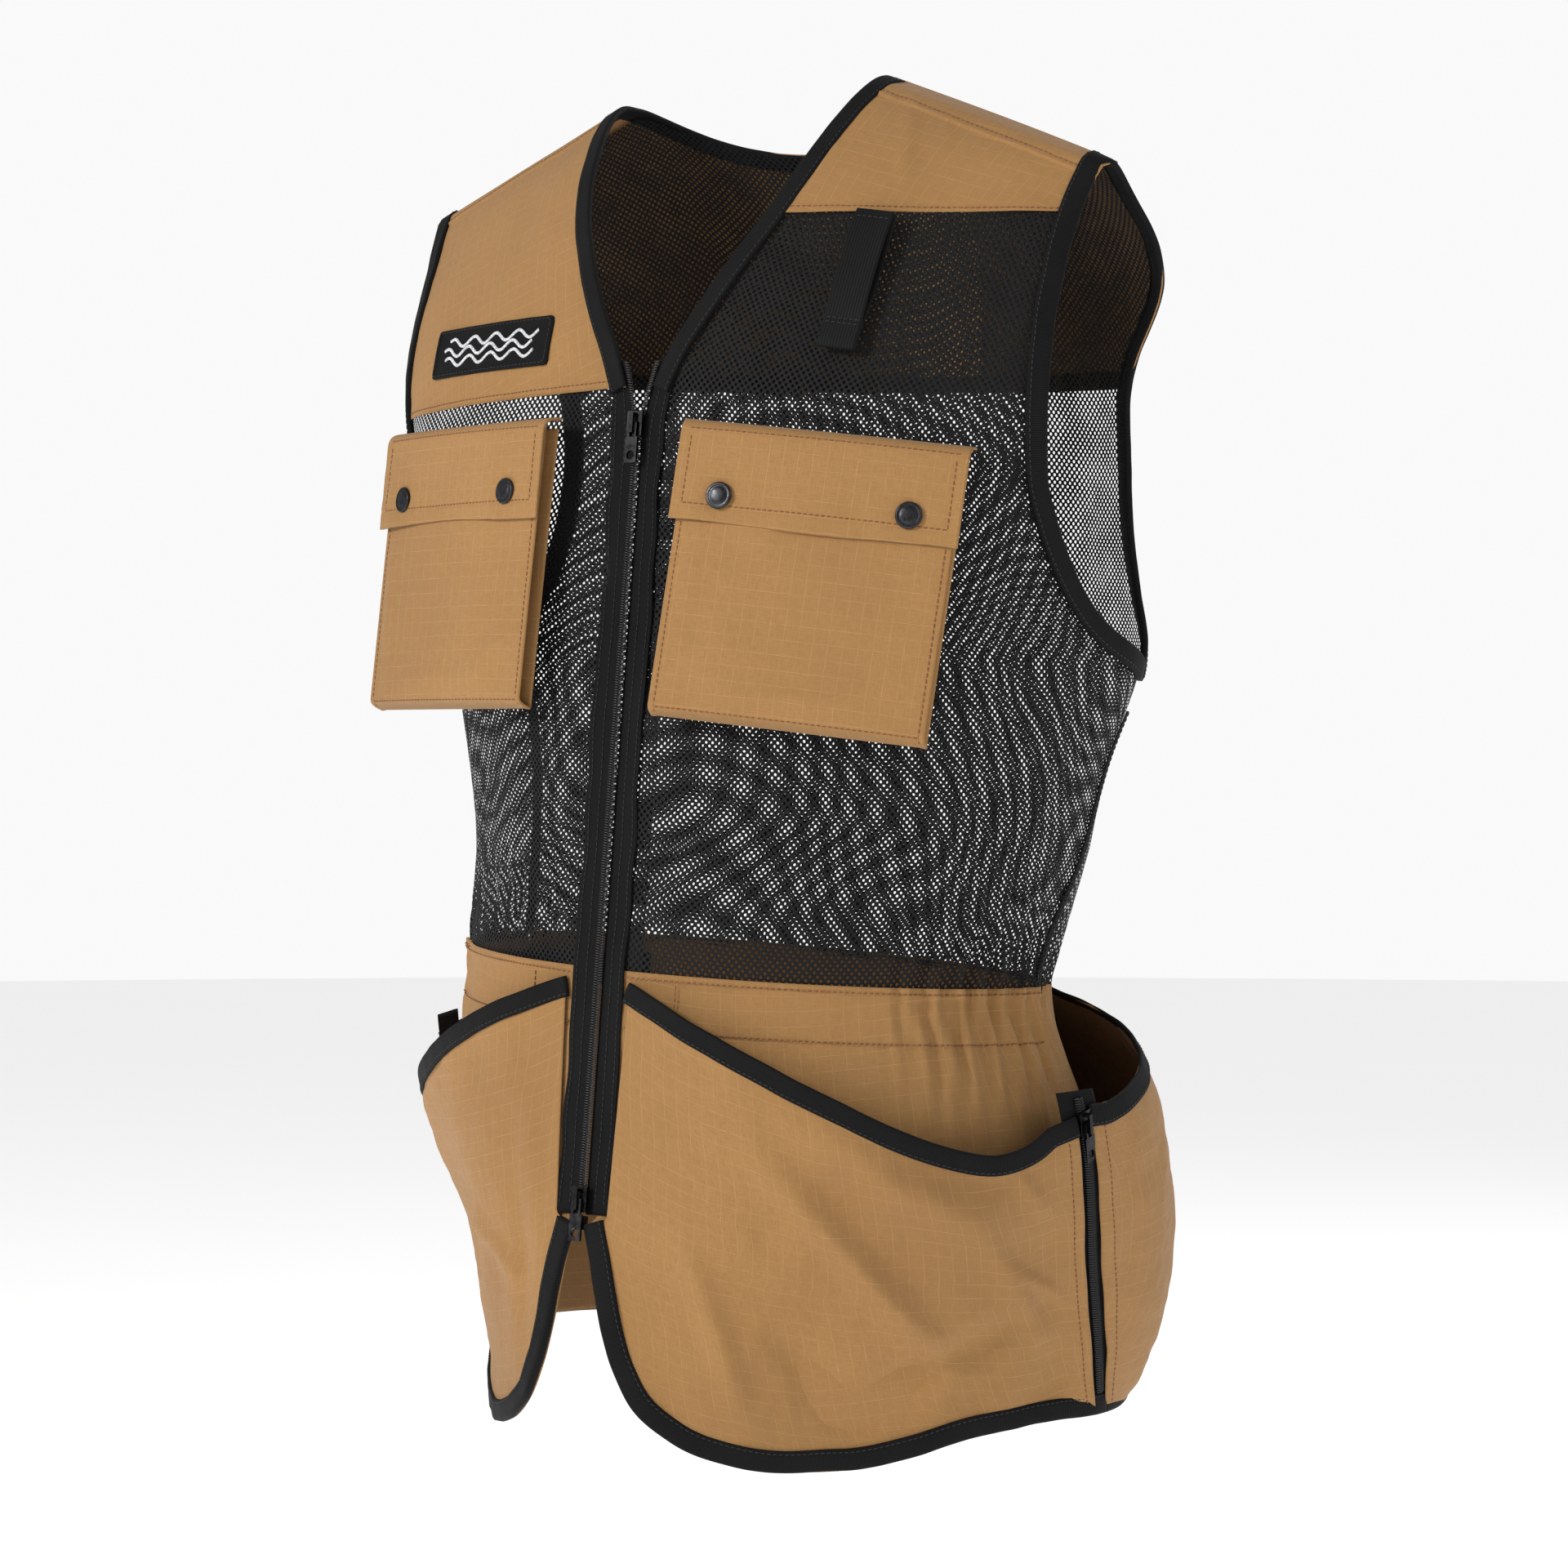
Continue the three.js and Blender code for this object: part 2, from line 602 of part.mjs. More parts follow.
const cutAt = (places, angle) => {
  const kept = places.filter((place) => place[0] < angle - 0.5);
  const k = kept.length;
  const share = (angle - places[k - 1][0]) / (places[k][0] - places[k - 1][0]);
  return [...kept, [angle, places[k - 1][1] + (places[k][1] - places[k - 1][1]) * share]];
};

function skirtFront() {
  const up = [...slitUp, ...spaced(level.zipBottom, level.waist - seam / 2, 8)
    .map((z) => [angleAtX(panelEdge, z), z])];
  const across = cutAt(hemAcross, 92 - split);
  const end = across[across.length - 1];
  const right = route([end, [92 - split, level.waist - seam / 2]]);
  return clothPatch(route(up), right, route(across), null, onBody);
}

const pouchTop = level.waist - 1;
const mouthFall = 6;              // how far the pouch's front corner lies below the first place of its mouth
const mouthTravel = smoothPlaces(pocketMouth, 20).reverse();
const pouchTravel = smoothPlaces([...pouchMouth, [158, pouchTop], [180, pouchTop]], 26).reverse();

function handPocket() {
  const mouth = inset(mouthTravel, beltPoint, mouthInset).reverse()
    .filter(([angle]) => angle > 6.5 && angle < 78.5);
  const bottomAngle = besideZip(backHemInset, -clothFromZip);
  const across = cutAt(hemAcross, bottomAngle);
  const start = mouth[0];
  const end = mouth[mouth.length - 1];
  const up = [...slitUp, ...spaced(level.zipBottom, start[1], 6).map((z) => [angleAtX(panelEdge, z), z])];
  up[up.length - 1] = start;
  const right = spaced(across[across.length - 1][1], end[1], 8)
    .map((z) => [besideZip(z, -clothFromZip), z]);
  const top = route([...mouth.slice(0, -1), right[right.length - 1]]);
  return clothPatch(route(up), route(right), route(across), top, beltPoint);
}

function backPouch() {
  const mouth = inset(pouchTravel, beltPoint, mouthInset).reverse().filter(([angle]) => angle > 90 && angle < 176);
  const start = mouth[0];
  const low = besideZip(backHemInset, clothFromZip);
  const left = spaced(backHemInset, start[1] - mouthFall, 8).map((z) => [besideZip(z, clothFromZip), z]);
  const half = [left[left.length - 1], ...mouth.slice(1), [180, pouchTop - mouthInset]];
  const whole = [...half, ...half.slice(0, -1).map(([angle, z]) => [360 - angle, z]).reverse()];
  const right = left.map(([angle, z]) => [360 - angle, z]);
  const bottom = route([[low, backHemInset], [360 - low, backHemInset]]);
  return clothPatch(route(left), route(right), bottom, route(whole), beltPoint);
}

for (const { name, sign } of sides) {
  addCloth(`skirt_${name}`, sheet(onSide(skirtFront(), sign), 11, 7), 'ripstop');
  addCloth(`hand_pocket_${name}`, sheet(onSide(handPocket(), sign), 13, 7), 'ripstop');
  addCloth(`hem_binding_${name}`,
    mirrored(ribbon(cutAt(hemPlaces, 92 - split), onBody, binding.width, 2.4, binding.hemThickness), sign), 'tape');
  addCloth(`pocket_binding_${name}`,
    mirrored(ribbon(mouthTravel, beltPoint, binding.width, cloth, 2 * cloth), sign), 'tape');
  addCloth(`pouch_binding_${name}`,
    mirrored(ribbon(pouchTravel.slice(1), beltPoint, binding.width, cloth, 2 * cloth), sign), 'tape');
  const elastic = (u, v) => lifted(66 + 52 * u, level.waist - 28 + 20 * v, -cloth - 3 * seam);
  addCloth(`waist_elastic_${name}`, sheet(onSide(elastic, sign), 8, 2, 1.5), 'elastic');
}
const skirtBack = clothPatch(route([[92 + split, backHemInset], [92 + split, level.waist - seam / 2]]),
  route([[268 - split, backHemInset], [268 - split, level.waist - seam / 2]]), null, null, onBody);
addCloth('skirt_back', sheet(skirtBack, 18, 6), 'ripstop');
addCloth('back_pouch', sheet(backPouch(), 26, 8), 'ripstop');
addCloth('back_hem_binding', ribbon(backHem, onBody, binding.width, 2.4, binding.hemThickness), 'tape');

// ---------- placed frames ----------
// A local frame: x across, y out of the cloth, z down the front.
function placed(origin, across, out) {
  const x = across.clone().normalize();
  const z = new THREE.Vector3().crossVectors(x, out).normalize();
  const y = new THREE.Vector3().crossVectors(z, x);
  const group = new THREE.Group();
  group.matrix.makeBasis(x, y, z).setPosition(origin);
  group.matrix.decompose(group.position, group.quaternion, group.scale);
  vest.add(group);
  return group;
}

// ---------- zips ----------
const plateGap = seam;
const plateTop = frontZip.coilUp + plateGap;
const plateBottom = -frontZip.coilDown - seam - plateGap;
const pivotUp = plateTop + slider.plate + plateGap + pull.bar / 2;

function sliderBody() {
  const webHeight = plateTop - plateBottom + 0.4;
  const bridgeLow = pivotUp + pull.bar / 2 + plateGap;
  const post = bridgeLow - plateTop - slider.plate + 1.2;
  const postAt = slider.length / 2 - 2;
  return joined(
    block(slider.width, slider.plate, slider.length, 0, plateTop + slider.plate / 2, 0),
    block(slider.width, slider.plate, slider.length, 0, plateBottom - slider.plate / 2, 0),
    block(slider.web, webHeight, slider.length - 1, 0, (plateTop + plateBottom) / 2, 0),
    block(slider.bridgeWidth, 1.2, 2 * postAt + 1.6, 0, bridgeLow + 0.6, 0),
    block(slider.bridgeWidth, post, 1.6, 0, plateTop + slider.plate + post / 2 - 0.1, postAt),
    block(slider.bridgeWidth, post, 1.6, 0, plateTop + slider.plate + post / 2 - 0.1, -postAt),
  );
}

// Pull tab hanging down from its bar, which lies on the frame's x axis through the origin.
function pullTab() {
  const armInner = slider.bridgeWidth / 2 + seam;
  const armAt = armInner + pull.arm / 2;
  const clear = slider.length / 2 + 1;
  const bar = new THREE.CylinderGeometry(pull.bar / 2, pull.bar / 2, 2 * (armInner + pull.arm), 10)
    .rotateZ(Math.PI / 2);
  const arms = [-1, 1].map((side) => block(pull.arm, pull.thickness, clear + 1, side * armAt, 0, clear / 2 + 0.5));
  const tab = block(pull.width, pull.thickness, pull.length - clear, 0, 0, (pull.length + clear) / 2);
  const eye = new THREE.CylinderGeometry(pull.eye, pull.eye, 3 * pull.thickness, 16)
    .translate(0, 0, pull.length - pull.eye - 1.6);
  return cut(joined(bar, ...arms, tab), eye);
}

function addSlider(name, frame, down) {
  const body = new THREE.Group();
  body.position.set(0, 0, down);
  frame.add(body);
  add(`${name}_slider`, sliderBody(), 'metal', body);
  const tab = new THREE.Group();
  tab.position.set(0, pivotUp, 0);
  body.add(tab);
  add(`${name}_pull`, pullTab(), 'metal', tab);
}

const frontFrame = placed(new THREE.Vector3(0, frontZip.y, level.zipTop), new THREE.Vector3(1, 0, 0),
  new THREE.Vector3(0, -1, frontZip.lean));
const zipLength = (level.zipTop - level.zipBottom) * Math.hypot(1, frontZip.lean);
const tapeStart = 7;              // the tape starts below the end of the neck binding
const coilStart = tapeStart + 3;
for (const { name, sign } of sides) {
  const coilAt = sign * (frontZip.slot / 2 + frontZip.coilHalf / 2);
  const coilHeight = frontZip.coilUp + frontZip.coilDown;
  const coilMiddle = (frontZip.coilUp - frontZip.coilDown) / 2;
  add(`front_zip_tape_${name}`, block(frontZip.tape, tapeThickness, zipLength - tapeStart,
    sign * (zipEdge + frontZip.tape / 2), -tapeThickness / 2, (zipLength + tapeStart) / 2), 'tape', frontFrame);
  add(`front_zip_coil_${name}`, block(frontZip.coilHalf, coilHeight, zipLength - coilStart,
    coilAt, coilMiddle, (zipLength + coilStart) / 2), 'coil', frontFrame);
}
add('front_zip_box', block(6.4, 3.6, 7, 0, 0.2, zipLength + seam + 3.5), 'metal', frontFrame);
const topSliderDown = coilStart + 10;
const bottomSliderDown = zipLength - 8;
addSlider('front_zip_top', frontFrame, topSliderDown);
addSlider('front_zip_bottom', frontFrame, bottomSliderDown);

for (const { name, sign } of sides) {
  const ends = [sideZipLine.top, sideZipLine.bottom].map((p) => hung(new THREE.Vector3(sign * p.x, p.y, p.z)));
  const down = ends[1].clone().sub(ends[0]);
  const length = down.length();
  const centre = new THREE.Vector3(0, sectionValue('middle', level.sideZipTop), ends[0].z);
  const outward = ends[0].clone().sub(centre).setZ(0).normalize();
  const across = outward.clone().cross(down).normalize();
  const frame = placed(ends[0], across, down.clone().cross(across));
  const coilWidth = 2 * frontZip.coilHalf;
  const slot = slider.web + 2 * seam;
  const tapeWidth = 2 * sideZipHalf;
  add(`side_zip_tape_${name}`, cut(block(tapeWidth, tapeThickness, length, 0, -tapeThickness / 2, length / 2),
    block(slot, 3 * tapeThickness, length - 3, 0, 0, length / 2 - 3)), 'tape', frame);
  const coilUp = frontZip.coilUp;
  add(`side_zip_coil_${name}`, cut(block(coilWidth + slot, coilUp - seam, length - 4, 0, (coilUp + seam) / 2,
    length / 2), block(slot, 3 * coilUp, length, 0, 0, length / 2 - 5)), 'coil', frame);
  addSlider(`side_zip_${name}`, frame, 12);
}

// ---------- chest pockets ----------
// Point of the hung front at a place across and a height, on either side of the body.
function frontSurface(x, z) {
  let flat = z;
  for (let i = 0; i < 5; i += 1) flat = z + hang.slope * (1 - smoothStep(hang.to, hang.from, flat)) * x;
  return new THREE.Vector3(x, frontAt(Math.abs(x), flat).y, z);
}

function pocketFrame(sign) {
  const turn = sign * pocket.turn * degree;
  const outward = new THREE.Vector3(Math.sin(turn), -Math.cos(turn), Math.tan(pocket.lean * degree));
  const across = new THREE.Vector3(Math.cos(turn), Math.sin(turn), -(sign * pocket.fall + hang.slope));
  return placed(frontSurface(sign * pocket.x, pocket.top - sign * hang.slope * pocket.x), across, outward);
}

// Height of the body cloth in a frame, measured out from the frame's own plane.
function bodyUnder(frame, x, z) {
  frame.updateMatrixWorld(true);
  const out = new THREE.Vector3(0, 1, 0).transformDirection(frame.matrixWorld);
  let y = 0;
  for (let i = 0; i < 8; i += 1) {
    const p = frame.localToWorld(new THREE.Vector3(x, y, z));
    y += (frontSurface(p.x, p.z).y - p.y) * out.y;
  }
  return y;
}

const pocketFace = (x) => pocket.depth - pocket.bend * (x / (pocket.width / 2)) ** 2;

// Solid over a rectangle of a frame, between two heights that depend on the place.
function slab(halfWidth, top, bottom, low, high) {
  const face = (height) => (u, v) => {
    const x = halfWidth * (2 * u - 1);
    const z = bottom + (top - bottom) * v;
    return new THREE.Vector3(x, height(x, z), z);
  };
  return between(face(high), face(low), 6, 4);
}

function chestPocket(frame) {
  const half = pocket.width / 2;
  const under = (x, z) => bodyUnder(frame, x, z);
  const tray = slab(half, 0, pocket.height, (x, z) => under(x, z) + 3.5 * seam, pocketFace);
  const ledge = slab(half - 1, 0, pocket.wall, (x, z) => under(x, z) + 3.5 * seam,
    (x) => pocketFace(x) + flap.gap - seam);
  const inside = slab(half - pocket.wall, pocket.wall, pocket.height - pocket.wall,
    (x, z) => under(x, z) - 4, (x) => pocketFace(x) - pocket.wall);
  const mouth = slab(half + 1, pocket.wall, pocket.mouth, (x, z) => under(x, z) + 5, () => 2 * pocket.depth);
  return cut(joined(tray, ledge), inside, mouth);
}

const flapFace = (x) => pocketFace(x) + flap.gap + cloth;

function flapSheet() {
  const point = (u, v) => {
    const x = flap.width * (u - 0.5);
    return new THREE.Vector3(x, flapFace(x), flap.height * (1 - v));
  };
  return sheet(point, 8, 2);
}

function turned(profile, segments = 12) {
  return new THREE.LatheGeometry(profile.map(([r, y]) => new THREE.Vector2(r, y)), segments);
}

const capShape = turned([[0, 0], [snap.cap, 0], [snap.cap, 0.7], [snap.cap - 0.9, 1.5], [0, snap.capHeight]]);
const socketShape = turned([[snap.hole, 0], [snap.socket, 0], [snap.socket, 1.4], [snap.hole, 1.4], [snap.hole, 0]]);
const studShape = turned([[0, 0], [snap.stud, 0], [snap.stud, 1], [snap.post, 1], [snap.post, 2.6], [0, 2.6]]);

for (const { name, sign } of sides) {
  const frame = pocketFrame(sign);
  add(`chest_pocket_${name}`, chestPocket(frame), 'ripstop', frame);
  add(`chest_flap_${name}`, flapSheet(), 'ripstop', frame);
  for (const [place, at] of [['inner', -sign], ['outer', sign]]) {
    const x = at * snap.across;
    const spot = new THREE.Group();
    spot.position.set(x, pocketFace(x), snap.down);
    spot.rotation.z = -Math.atan(2 * pocket.bend * x / (pocket.width / 2) ** 2);
    frame.add(spot);
    add(`snap_stud_${name}_${place}`, studShape.clone().translate(0, seam, 0), 'metal', spot);
    add(`snap_socket_${name}_${place}`, socketShape.clone().translate(0, flap.gap - seam - 1.4, 0), 'metal', spot);
    add(`snap_cap_${name}_${place}`, capShape.clone().translate(0, flap.gap + cloth + seam, 0), 'metal', spot);
  }
}

// ---------- webbing loop and patch ----------
function loopShape() {
  const r = loop.thickness / 2;
  const inner = r - loop.strap;
  const outline = (radius) => new THREE.Shape().absarc(r, r, radius, Math.PI / 2, 1.5 * Math.PI)
    .absarc(loop.length - r, r, radius, -Math.PI / 2, Math.PI / 2);
  const shape = outline(r);
  shape.holes.push(outline(inner));
  const toFrame = new THREE.Matrix4().makeBasis(new THREE.Vector3(0, 0, 1), new THREE.Vector3(0, 1, 0),
    new THREE.Vector3(-1, 0, 0));
  return new THREE.ExtrudeGeometry(shape, { depth: loop.width, bevelEnabled: false, curveSegments: 4 })
    .translate(0, 0, -loop.width / 2).applyMatrix4(toFrame);
}

const loopTop = frontSurface(...loop.top).add(new THREE.Vector3(0, -loop.lift, 0));
const loopEnd = frontSurface(...loop.end).add(new THREE.Vector3(0, -loop.lift, 0));
const loopAcross = new THREE.Vector3(Math.cos(loop.turn * degree), Math.sin(loop.turn * degree), 0);
const loopDown = loopEnd.clone().sub(loopTop).normalize();
loopAcross.addScaledVector(loopDown, -loopAcross.dot(loopDown)).normalize();
const loopFrame = placed(loopTop, loopAcross, loopDown.clone().cross(loopAcross));
add('webbing_loop', loopShape(), 'tape', loopFrame);

const patchFace = (u, v) => {
  const x = patchPlace.outer + (patchPlace.inner - patchPlace.outer) * u;
  const z = patchPlace.bottom + (patchPlace.top - patchPlace.bottom) * v;
  return frontSurface(x, z);
};
const patchOuter = (u, v) => patchFace(u, v).addScaledVector(normalOf(patchFace, u, v), seam + patchPlace.thickness);
add('chest_patch', sheet(patchOuter, 10, 3, patchPlace.thickness), 'tape');

export default vest;
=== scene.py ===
import math
import bmesh
import bpy
import numpy as np
from mathutils import Matrix, Vector, noise


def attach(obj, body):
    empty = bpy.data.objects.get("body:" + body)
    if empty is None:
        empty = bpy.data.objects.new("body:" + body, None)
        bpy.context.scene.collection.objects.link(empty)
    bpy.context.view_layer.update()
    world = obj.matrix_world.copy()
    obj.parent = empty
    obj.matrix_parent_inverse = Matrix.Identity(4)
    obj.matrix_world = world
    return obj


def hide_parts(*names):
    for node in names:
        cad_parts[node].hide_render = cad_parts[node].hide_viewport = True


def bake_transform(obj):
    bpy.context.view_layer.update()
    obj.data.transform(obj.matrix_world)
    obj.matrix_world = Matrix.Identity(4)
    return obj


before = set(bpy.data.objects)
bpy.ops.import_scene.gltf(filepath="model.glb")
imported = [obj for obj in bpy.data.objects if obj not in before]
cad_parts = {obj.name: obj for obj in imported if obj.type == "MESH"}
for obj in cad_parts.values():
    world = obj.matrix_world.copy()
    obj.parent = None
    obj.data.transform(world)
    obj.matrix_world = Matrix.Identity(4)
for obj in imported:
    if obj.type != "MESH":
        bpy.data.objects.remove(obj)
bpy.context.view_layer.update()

bl_info = {
    "name": "Field Vest",
    "version": (1, 0, 0),
    "blender": (4, 5, 0),
    "location": "View3D > Sidebar > Vest",
    "description": "Cloth, trim and fastenings of a mesh field vest",
    "category": "Add Mesh",
}

ROOT = "vest"
SIDES = (("left", 1), ("right", -1))

# ---------- sizes of the garment, in millimetres ----------
WAIST, HEM, FRONT_HEM, UNDERARM = -466.0, -687.0, -711.0, -294.0
ZIP_TOP, ZIP_BOTTOM, SIDE_ZIP_TOP, BACK_YOKE = -165.0, -590.0, -524.0, -150.0
NECK, SHOULDER, SLOPE = 85.0, 219.0, 0.4
BACK_NECK_DROP = 22.0
ZIP_LEAN, ZIP_Y = 0.118, -104.0
FRONT_YOKE = {"left": (-73.0, 0.01), "right": (-162.0, 0.08)}
LEVELS = (0, -100, -208, UNDERARM, -390, WAIST, -540, -615, -720)
SECTION = {
    "half_width": (232, 228, 217, 203, 184, 168, 184, 185, 183),
    "back": (95, 104, 114, 124, 132, 108, 126, 150, 172),
    "middle": (10, 13, 17, 20, 22, 8, 16, 34, 50),
    "front_power": (2.3, 2.3, 2.25, 2.0, 1.85, 1.95, 1.8, 1.55, 1.4),
    "back_power": (2.3, 2.3, 2.3, 2.2, 2.1, 2.1, 2.2, 2.2, 2.2),
}
ARM_FRONT = ((-52, 79), (-92, 75.5), (-151, 73), (-208, 75), (-250, 81), (-276, 88), (UNDERARM, 99))
ARM_BACK = ((-52, 100), (-102, 105), (-141, 107), (-174, 107), (-217, 106), (-258, 103), (UNDERARM, 99))
SIDE_SEAM = ((-311.9, 99), (WAIST, 92))
# Each wing: how far out, angle, spread, height, spread of height.
WINGS = ((12, 99, 14, UNDERARM, 40), (26, 106, 14, -98, 36), (9, 73, 13, -155, 60))
NECK_EDGE = ((0, NECK), (-45, 70), (-76, 57), (-114, 36), (-143, 19), (ZIP_TOP, 9.5))
SLIT = ((4, -594.5), (9, -612), (16, -645), (24, -669), (37, -689), (57, -703), (84, FRONT_HEM))
FRONT_HEM_EDGE = ((41, -710.5), (52, -704), (66, -693), (79, -688), (92, HEM))
POCKET_MOUTH = ((7.9, -471.5), (10.5, -474), (22, -488), (36, -507), (50, -527), (60, -539), (69, -545),
                (75, -541), (79, -533))
POUCH_MOUTH = ((88.4, -527), (95, -521), (104, -509), (112, -491), (120, -477), (129, -470), (140, -467),
               (158, WAIST - 1), (180, WAIST - 1))
BULGE = ((0, 0), (9, 0), (25, 9), (55, 19), (84, 27), (105, 37), (125, 38), (150, 30), (180, 34))
POCKET = {"x": 113.0, "top": -190.5, "half": 73.0, "height": 149.0, "depth": 12.0, "bend": 4.0, "turn": 17.7,
          "lean": 6.5, "fall": 0.056}
FLAP = {"half": 76.0, "height": 50.0, "gap": 3.4}
SNAP_ACROSS, SNAP_DOWN = 50.0, 36.0
PATCH = {"left": -168.5, "low": -150.0, "wide": 103.0, "high": 27.0, "corner": 3.0}
FRONT_ZIP_LENGTH, TOOTH_PITCH = 427.9, 1.32
DEGREE = 3.4  # about how far one degree round the body is
HANG = 0.065  # how much lower the left side hangs, for each step across
SKIRT_EDGE = 9.0  # from the middle of the front to the skirt's edge
ZIP_GAP = 5.0  # from a side zip's middle to the cloth beside it
CASING_SEAM = WAIST - 27.5  # the lower seam of the elastic's casing
SEAM_ROW = 2.2  # from a cloth's lower edge to its stitches
YOKE_SEAM = 6.8  # from the shoulder's ridge to the seam below it
VIEW_TURN = math.radians(35)  # how far round from the front the camera stands


# ---------- the body surface ----------
def through(table, key):
    """Smooth value through (key, value) pairs."""
    rows = sorted(table)
    keys = np.array([row[0] for row in rows], float)
    values = np.array([row[1] for row in rows], float)
    slope = np.empty_like(values)
    slope[1:-1] = (values[2:] - values[:-2]) / (keys[2:] - keys[:-2])
    slope[0] = (values[1] - values[0]) / (keys[1] - keys[0])
    slope[-1] = (values[-1] - values[-2]) / (keys[-1] - keys[-2])
    x = np.clip(np.asarray(key, float), keys[0], keys[-1])
    i = np.clip(np.searchsorted(keys, x) - 1, 0, len(keys) - 2)
    h = keys[i + 1] - keys[i]
    t = (x - keys[i]) / h
    return ((2 * t**3 - 3 * t**2 + 1) * values[i] + (t**3 - 2 * t**2 + t) * h * slope[i]
            + (3 * t**2 - 2 * t**3) * values[i + 1] + (t**3 - t**2) * h * slope[i + 1])


def unit(v, tiny=1e-12):
    return v / (np.linalg.norm(v, axis=-1, keepdims=True) + tiny)


def section(name, z):
    return through(list(zip(LEVELS, SECTION[name])), z)


def smooth_step(low, high, value):
    t = np.clip((np.asarray(value, float) - low) / (high - low), 0, 1)
    return t * t * (3 - 2 * t)


def within(share, low, high=None):
    """Fades from 0 to 1 and back near the ends of a share from 0 to 1."""
    return smooth_step(0, low, share) * smooth_step(1, 1 - (low if high is None else high), share)


def front_line(z):
    return ZIP_Y + ZIP_LEAN * (z - ZIP_TOP)


def ridge(x):
    return -SLOPE * (np.abs(x) - NECK)


def body(angle, z):
    """Point of the body cloth at an angle in degrees from the front and a height."""
    angle, z = np.broadcast_arrays(np.asarray(angle, float), np.asarray(z, float))
    around = np.abs((angle + 180) % 360 - 180)
    front = around <= 90
    middle = section("middle", z)
    depth = np.where(front, middle - front_line(z), section("back", z) - middle)
    power = np.where(front, section("front_power", z), section("back_power", z))
    c, s = np.cos(np.radians(angle)), np.sin(np.radians(angle))
    r = ((np.abs(c) / depth) ** power + (np.abs(s) / section("half_width", z)) ** power) ** (-1 / power)
    for out, at, spread, height, tall in WINGS:
        r = r + out * np.exp(-((around - at) / spread) ** 2 - ((z - height) / tall) ** 2)
    x = r * s
    below = np.clip((ridge(x) - z) / np.where(front, 180, 160), 0, 1)
    rounding = np.where(front, 1.7, 1.9)
    closing = (1 - (1 - below) ** rounding) ** (1 / rounding)
    return np.stack([x, (middle - r * c) * closing, z], -1)


def angle_at_x(x, z, back=False):
    power = section("back_power" if back else "front_power", z)
    middle = section("middle", z)
    share = np.clip(np.abs(x) / section("half_width", z), 0, 0.9999) ** power
    reach = (section("back", z) - middle if back else middle - front_line(z)) * (1 - share) ** (1 / power)
    angle = np.degrees(np.arctan2(np.abs(x), reach))
    return 180 - angle if back else np.sign(x) * angle


def surface_y(x, z, back=False):
    """Depth of the body cloth at a place across and a height."""
    x = np.abs(x)
    angle = angle_at_x(x, z, back)
    for _ in range(8):
        angle = angle + (-0.25 if back else 0.25) * (x - body(angle, z)[..., 0])
    return body(angle, z)[..., 1]


def hung(p):
    """The vest hangs lower on the wearer's left."""
    p = np.array(p, float)
    p[..., 2] -= HANG * (1 - smooth_step(-190, -10, p[..., 2])) * p[..., 0]
    return p


def lifted(angle, z, lift):
    tiny = 0.05
    along = body(angle + tiny, z) - body(angle - tiny, z)
    up = body(angle, z + tiny) - body(angle, z - tiny)
    return body(angle, z) + unit(np.cross(along, up)) * np.asarray(lift)[..., None]


def belt(angle, z):
    """Point of the hand pockets and the pouch, which stand out from the skirt."""
    angle, z = np.broadcast_arrays(np.asarray(angle, float), np.asarray(z, float))
    side = np.abs((angle + 180) % 360 - 180)
    up = np.clip((z - HEM) / (WAIST - HEM), 0, 1)
    straight = (up / 0.7) ** 1.2
    bag = 1 - np.abs(2 * up - 1) ** np.where(up > 0.5, 5, 1.7)
    mix = smooth_step(78, 112, side)
    return lifted(angle, z, 2.2 + through(BULGE, side) * ((1 - mix) * straight + mix * bag))


def front_surface(x, z):
    """Point of the hung front at a place across and a height."""
    flat = np.array(z, float)
    for _ in range(6):
        flat = z + HANG * (1 - smooth_step(-190, -10, flat)) * x
    return np.stack(np.broadcast_arrays(x, surface_y(x, flat), z), -1).astype(float)


# ---------- edges and patches on the surface ----------
class Route:
    """Place along a row of (angle, height) places, from 0 to 1 by length."""

    def __init__(self, places):
        self.places = np.array(places, float)
        step = np.hypot(np.diff(self.places[:, 0]) * DEGREE, np.diff(self.places[:, 1]))
        self.along = np.concatenate([[0], np.cumsum(step)]) / step.sum()

    def __call__(self, t):
        return np.stack([np.interp(t, self.along, self.places[:, k]) for k in (0, 1)], -1)


def coons(left, right, bottom, top):
    """Places inside four edges; left and right run upwards, bottom and top away from the front."""

    def at(u, v):
        a, b = u[..., None], v[..., None]
        low, high = (1 - a) * left(0) + a * right(0), (1 - a) * left(1) + a * right(1)
        return (1 - a) * left(v) + a * right(v) + (1 - b) * (bottom(u) - low) + b * (top(u) - high)

    return at


def between(left, right):
    """Places between two edges, whose ends are joined by straight rows."""
    return coons(left, right, Route([left(0), right(0)]), Route([left(1), right(1)]))


def smooth_places(places, count=90):
    """A smooth row of places through the given ones."""
    p = np.array(places, float) * (DEGREE, 1)
    ends = np.vstack([p[:1], p, p[-1:]])
    rows = []
    for i in range(len(p) - 1):
        t = np.linspace(0, 1, 24, endpoint=False)[:, None]
        a, b, c, d = ends[i:i + 4]
        m, n = (c - a) / 2, (d - b) / 2
        rows.append((2 * t**3 - 3 * t**2 + 1) * b + (t**3 - 2 * t**2 + t) * m
                    + (3 * t**2 - 2 * t**3) * c + (t**3 - t**2) * n)
    line = Route(np.vstack(rows + [p[-1:]]) / (DEGREE, 1))
    return line(np.linspace(0, 1, count + 1))


